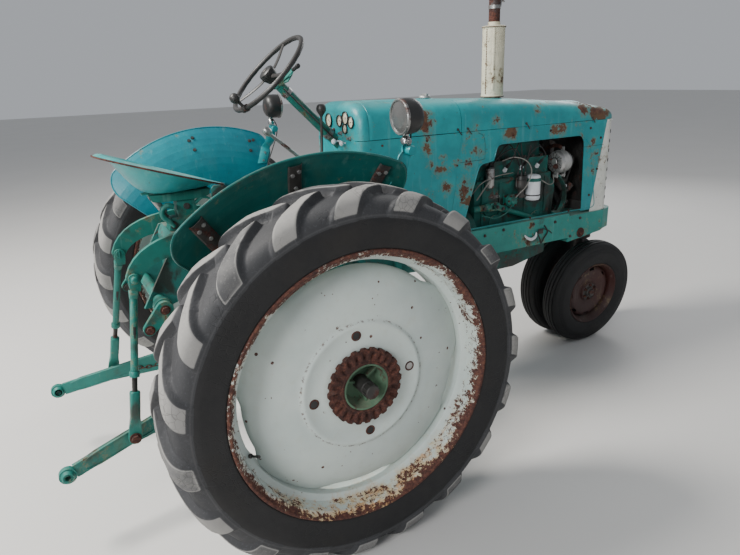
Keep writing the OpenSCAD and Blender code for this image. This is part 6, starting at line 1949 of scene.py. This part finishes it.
def housing_details():
    """Bolted covers, ribs and plugs of the lift housing, the rear housing and the gearbox."""
    s = Shape()
    for sign in SIDES.values():
        y = sign * .170
        for x in (-.405, -.335, -.165, -.125):
            s.plate([(x - .006, .80), (x + .006, .80), (x + .006, 1.105), (x - .006, 1.105)], y, -sign * .007)
        s.plate(mm(-432, 1092, -108, 1092, -108, 1122, -432, 1122), y, -sign * .010)
        for x in (-.20, .10):
            s.plate([(x, .62), (x + .18, .62), (x + .16, .66), (x + .02, .66)], sign * .205, -sign * .010)
        s.plate(mm(312, 585, 330, 585, 330, 945, 312, 945), sign * .205, -sign * .012)
        s.spun(mm(0, 14, 26, 14, 32, 10, 34, -2), (.48, sign * .120, .79), sign * Y, 32)
    s.group("housing_ribs", "casting", bevel=.0025)
    places = []
    for sign in SIDES.values():
        places += facing(sign * Y, [(x, sign * .180, 1.107) for x in np.linspace(-.415, -.125, 6)])
        places += facing(sign * Y, [(x, sign * .205, .885) for x in (-.22, -.15)])
        places += facing(sign * Y, [(.321, sign * .217, z) for z in np.linspace(.61, .92, 5)])
        places += facing(sign * Y, [round_y((.48, sign * .134, .79), .022, deg) for deg in range(45, 405, 90)])
        places += facing(sign * Y, [round_y((0, sign * .752, REAR_Z), .0985, deg)
                                    for deg in range(15, 375, 30)])
    places += facing(-X, [round_x((-.2505, 0, .700), .095, deg) for deg in range(20, 380, 45)])
    bolts("housing_bolts", places, "casting", radius=.0095, height=.0075)
    rim = Shape().spun(mm(52, 12.5, 58, 12.5, 78, 6, 106, 4, 112, 0, 112, -2), (-.2495, 0, .700), -X, 44)
    rim.piece("power_shaft_cover", "casting", bevel=.001, angle=30)
    plugs = Shape()
    for x, y, z, n in ((-.2505, .150, .640, -X), (-.2505, -.165, .85, -X), (.10, 0, .5702, -Z),
                       (.48, 0, .676, -Z)):
        plugs.spun(mm(0, 10, 8, 10, 9, 3, 15, 3, 16, -1), (x, y, z), n, 20)
    plugs.piece("drain_plugs", "rust")


def rail_details(side):
    """Bolts along a frame rail, the bolster's pin and the rolled hem of the side sheet's window."""
    sign = SIDES[side]
    y = sign * .2502
    small = mm(1687, 907, 1890, 902, 1817, 802, 740, 915, 740, 830, 800, 915, 800, 830, 1170, 905, 1170, 830,
               1300, 918, 1520, 918)
    bolts(f"rail_bolts_{side}", facing(sign * Y, [(x, y, z) for x, z in small]), "iron", radius=.0068,
          height=.0055)
    big = Shape().spun(mm(0, 16, 13, 15.5, 15, 12, 15.5, 6.2, 26, 5.8, 29, 3, 30, -1), (1.901, y, .812),
                       sign * Y, 28)
    big.piece(f"bolster_pin_{side}", "rust", angle=30)
    hem = Shape().tube([(x, sign * (HOOD_W + .0006), z) for x, z in window_line()], .0026, 6, closed=True)
    hem.group(f"window_hem_{side}", "sheet")


def window_line():
    """(x, z) points around the opening in a side sheet."""
    corners = mm(1018, 952, 1133, 1292, 1228, 1300, 1246, 1384, 1866, 1386, 1940, 1328, 2016, 952)
    cut, n, line = .034, len(corners), []
    for i in range(n):
        a, b, c = (Vector(corners[(i + k) % n]) for k in (-1, 0, 1))
        start, end = b + (a - b).normalized() * cut, b + (c - b).normalized() * cut
        line += [(1 - t) ** 2 * start + 2 * t * (1 - t) * b + t * t * end for t in (0, .25, .5, .75, 1)]
    return line


def side_hook():
    """Bent white hook under the right rail with a slack dark wire and its clip."""
    y = -.2560
    hook = Shape().hose([(1.452, y, .865), (1.470, y - .004, .846), (1.500, y - .006, .836),
                         (1.530, y - .004, .846), (1.540, y, .868)],
                        [.0035 + .0055 * math.sin(math.pi * k / 24) for k in range(25)], 10)
    hook.group("rail_hook", "white")
    wire = Shape().hose([(1.540, y, .872), (1.560, y - .008, .83), (1.575, y - .004, .80), (1.600, y, .826),
                         (1.625, y, .86), (1.60, y, .90)], .0038)
    wire.hose([(1.545, y, .868), (1.585, y - .002, .882), (1.63, y, .868), (1.66, y, .846)], .0030)
    wire.group("rail_wire", "hose")
    Shape().block((1.556, -.2585, .856), (1.590, -.2502, .884)).piece("rail_clip", "iron", bevel=.002)
    Shape().ball((1.851, -.150, 1.085), .0135, 10, 18, squash=.8, axis=Y).piece("hose_knob", "white")


# ---------------------------------------------------------------- build

def dress_frame():
    """Gives every carried-over CAD part its finish."""
    for name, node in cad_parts.items():
        node.data.materials.clear()
        node.data.materials.append(FINISHES[NODE_FINISH.get(name, "frame")])


NODE_FINISH = {
    "rear_housing": "casting", "axle_tubes": "casting", "clutch_housing": "casting",
    "engine_block": "engine", "cylinder_head": "engine", "manifold": "rust", "oil_filter": "white",
    "alternator": "aluminium", "fan": "iron", "radiator": "iron", "frame_rails": "frame",
    "front_bolster": "frame", "hood": "hood", "side_panel_left": "sheet", "side_panel_right": "sheet",
    "cowl": "sheet", "fuel_tank": "iron", "grille": "grille", "muffler": "muffler",
    "steering_column": "linkage", "controls": "steel", "steering_shaft": "linkage",
    # The fenders' two paints are lit and shaded copies of one paint: painted light and shade.
    "fender_left": "far_fender", "fender_right": "fender", "lamps": "black", "seat_pan": "seat",
    "seat_support": "linkage", "lift_housing": "casting", "link_bracket": "casting",
    "steering_wheel": "grip", "front_spindle": "iron", "front_tyre_left": "front_rubber",
    "front_tyre_right": "front_rubber", "front_wheel_left": "wheel_red", "front_wheel_right": "wheel_red",
    "lift_arms": "linkage", "lift_link_left": "linkage", "lift_link_right": "linkage",
    "lower_link_left": "linkage", "lower_link_right": "linkage", "distributor": "black",
    "fuel_pump": "linkage", "foot_controls": "casting", "cross_shaft": "linkage",
}


def set_studio():
    """Pale floor, pale surround and large soft lights."""
    f = Finish("floor")
    f.set(Base_Color=f.mix(f.noise(0.8, 2), (0.60, 0.59, 0.57), (0.64, 0.63, 0.61)), Roughness=0.9)
    mesh = bpy.data.meshes.new("floor")
    reach = 40
    mesh.from_pydata([(-reach, -reach, 0), (reach, -reach, 0), (reach, reach, 0), (-reach, reach, 0)], [],
                     [(0, 1, 2, 3)])
    mesh.materials.append(f.material)
    floor = bpy.data.objects.new("floor", mesh)
    bpy.context.scene.collection.objects.link(floor)
    world = bpy.data.worlds.new("surround")
    world.use_nodes = True
    sky = world.node_tree.nodes["Background"].inputs
    sky["Color"].default_value, sky["Strength"].default_value = (0.86, 0.90, 0.96, 1), 0.47
    bpy.context.scene.world = world
    lights = [("key", (-4.5, 1.5, 6.0), 2.2, 760), ("fill", (-6.0, -3.6, 3.6), 2.4, 330),
              ("rim", (5.5, 3.5, 4.0), 3.0, 130)]
    for name, place, size, power in lights:
        lamp = bpy.data.lights.new(name, "AREA")
        lamp.shape, lamp.size, lamp.energy = "DISK", size, power
        lamp.color = (1.0, 0.965, 0.91) if name == "key" else (1, 1, 1)
        obj = bpy.data.objects.new(name, lamp)
        obj.location = place
        obj.rotation_euler = (0.8 * Z - Vector(place)).to_track_quat("-Z", "Y").to_euler()
        bpy.context.scene.collection.objects.link(obj)


set_camera()
FINISHES = make_finishes()
BOLT_TREE = bolt_tree()
dress_frame()
set_studio()
for side in SIDES:
    rear_tyre(side)
    rear_rim(side)
    rear_disc(side)
    rear_hub(side)
    fender_trim(side)
    fender_bracket(side)
    lamp(side)
    front = FrontWheel(side)
    front_tyre(front)
    front_wheel(front)
    rear_valve(side)
    block_details(side)
    lift_arm_ends(side)
    lift_link(side)
    lower_link(side)
    rail_details(side)
for make in (hood_top, cowl_sides, instrument_end, filler_cap, hood_fittings, nose_guard, seat_pan, seat_mount,
             steering_wheel, steering_column, levers, foot_treads, muffler, alternator, fan_blades,
             radiator_core, oil_filter, distributor, fuel_pump, head_details, starter, drive_shaft_joint,
             cross_shaft_ends, housing_details, side_hook):
    make()
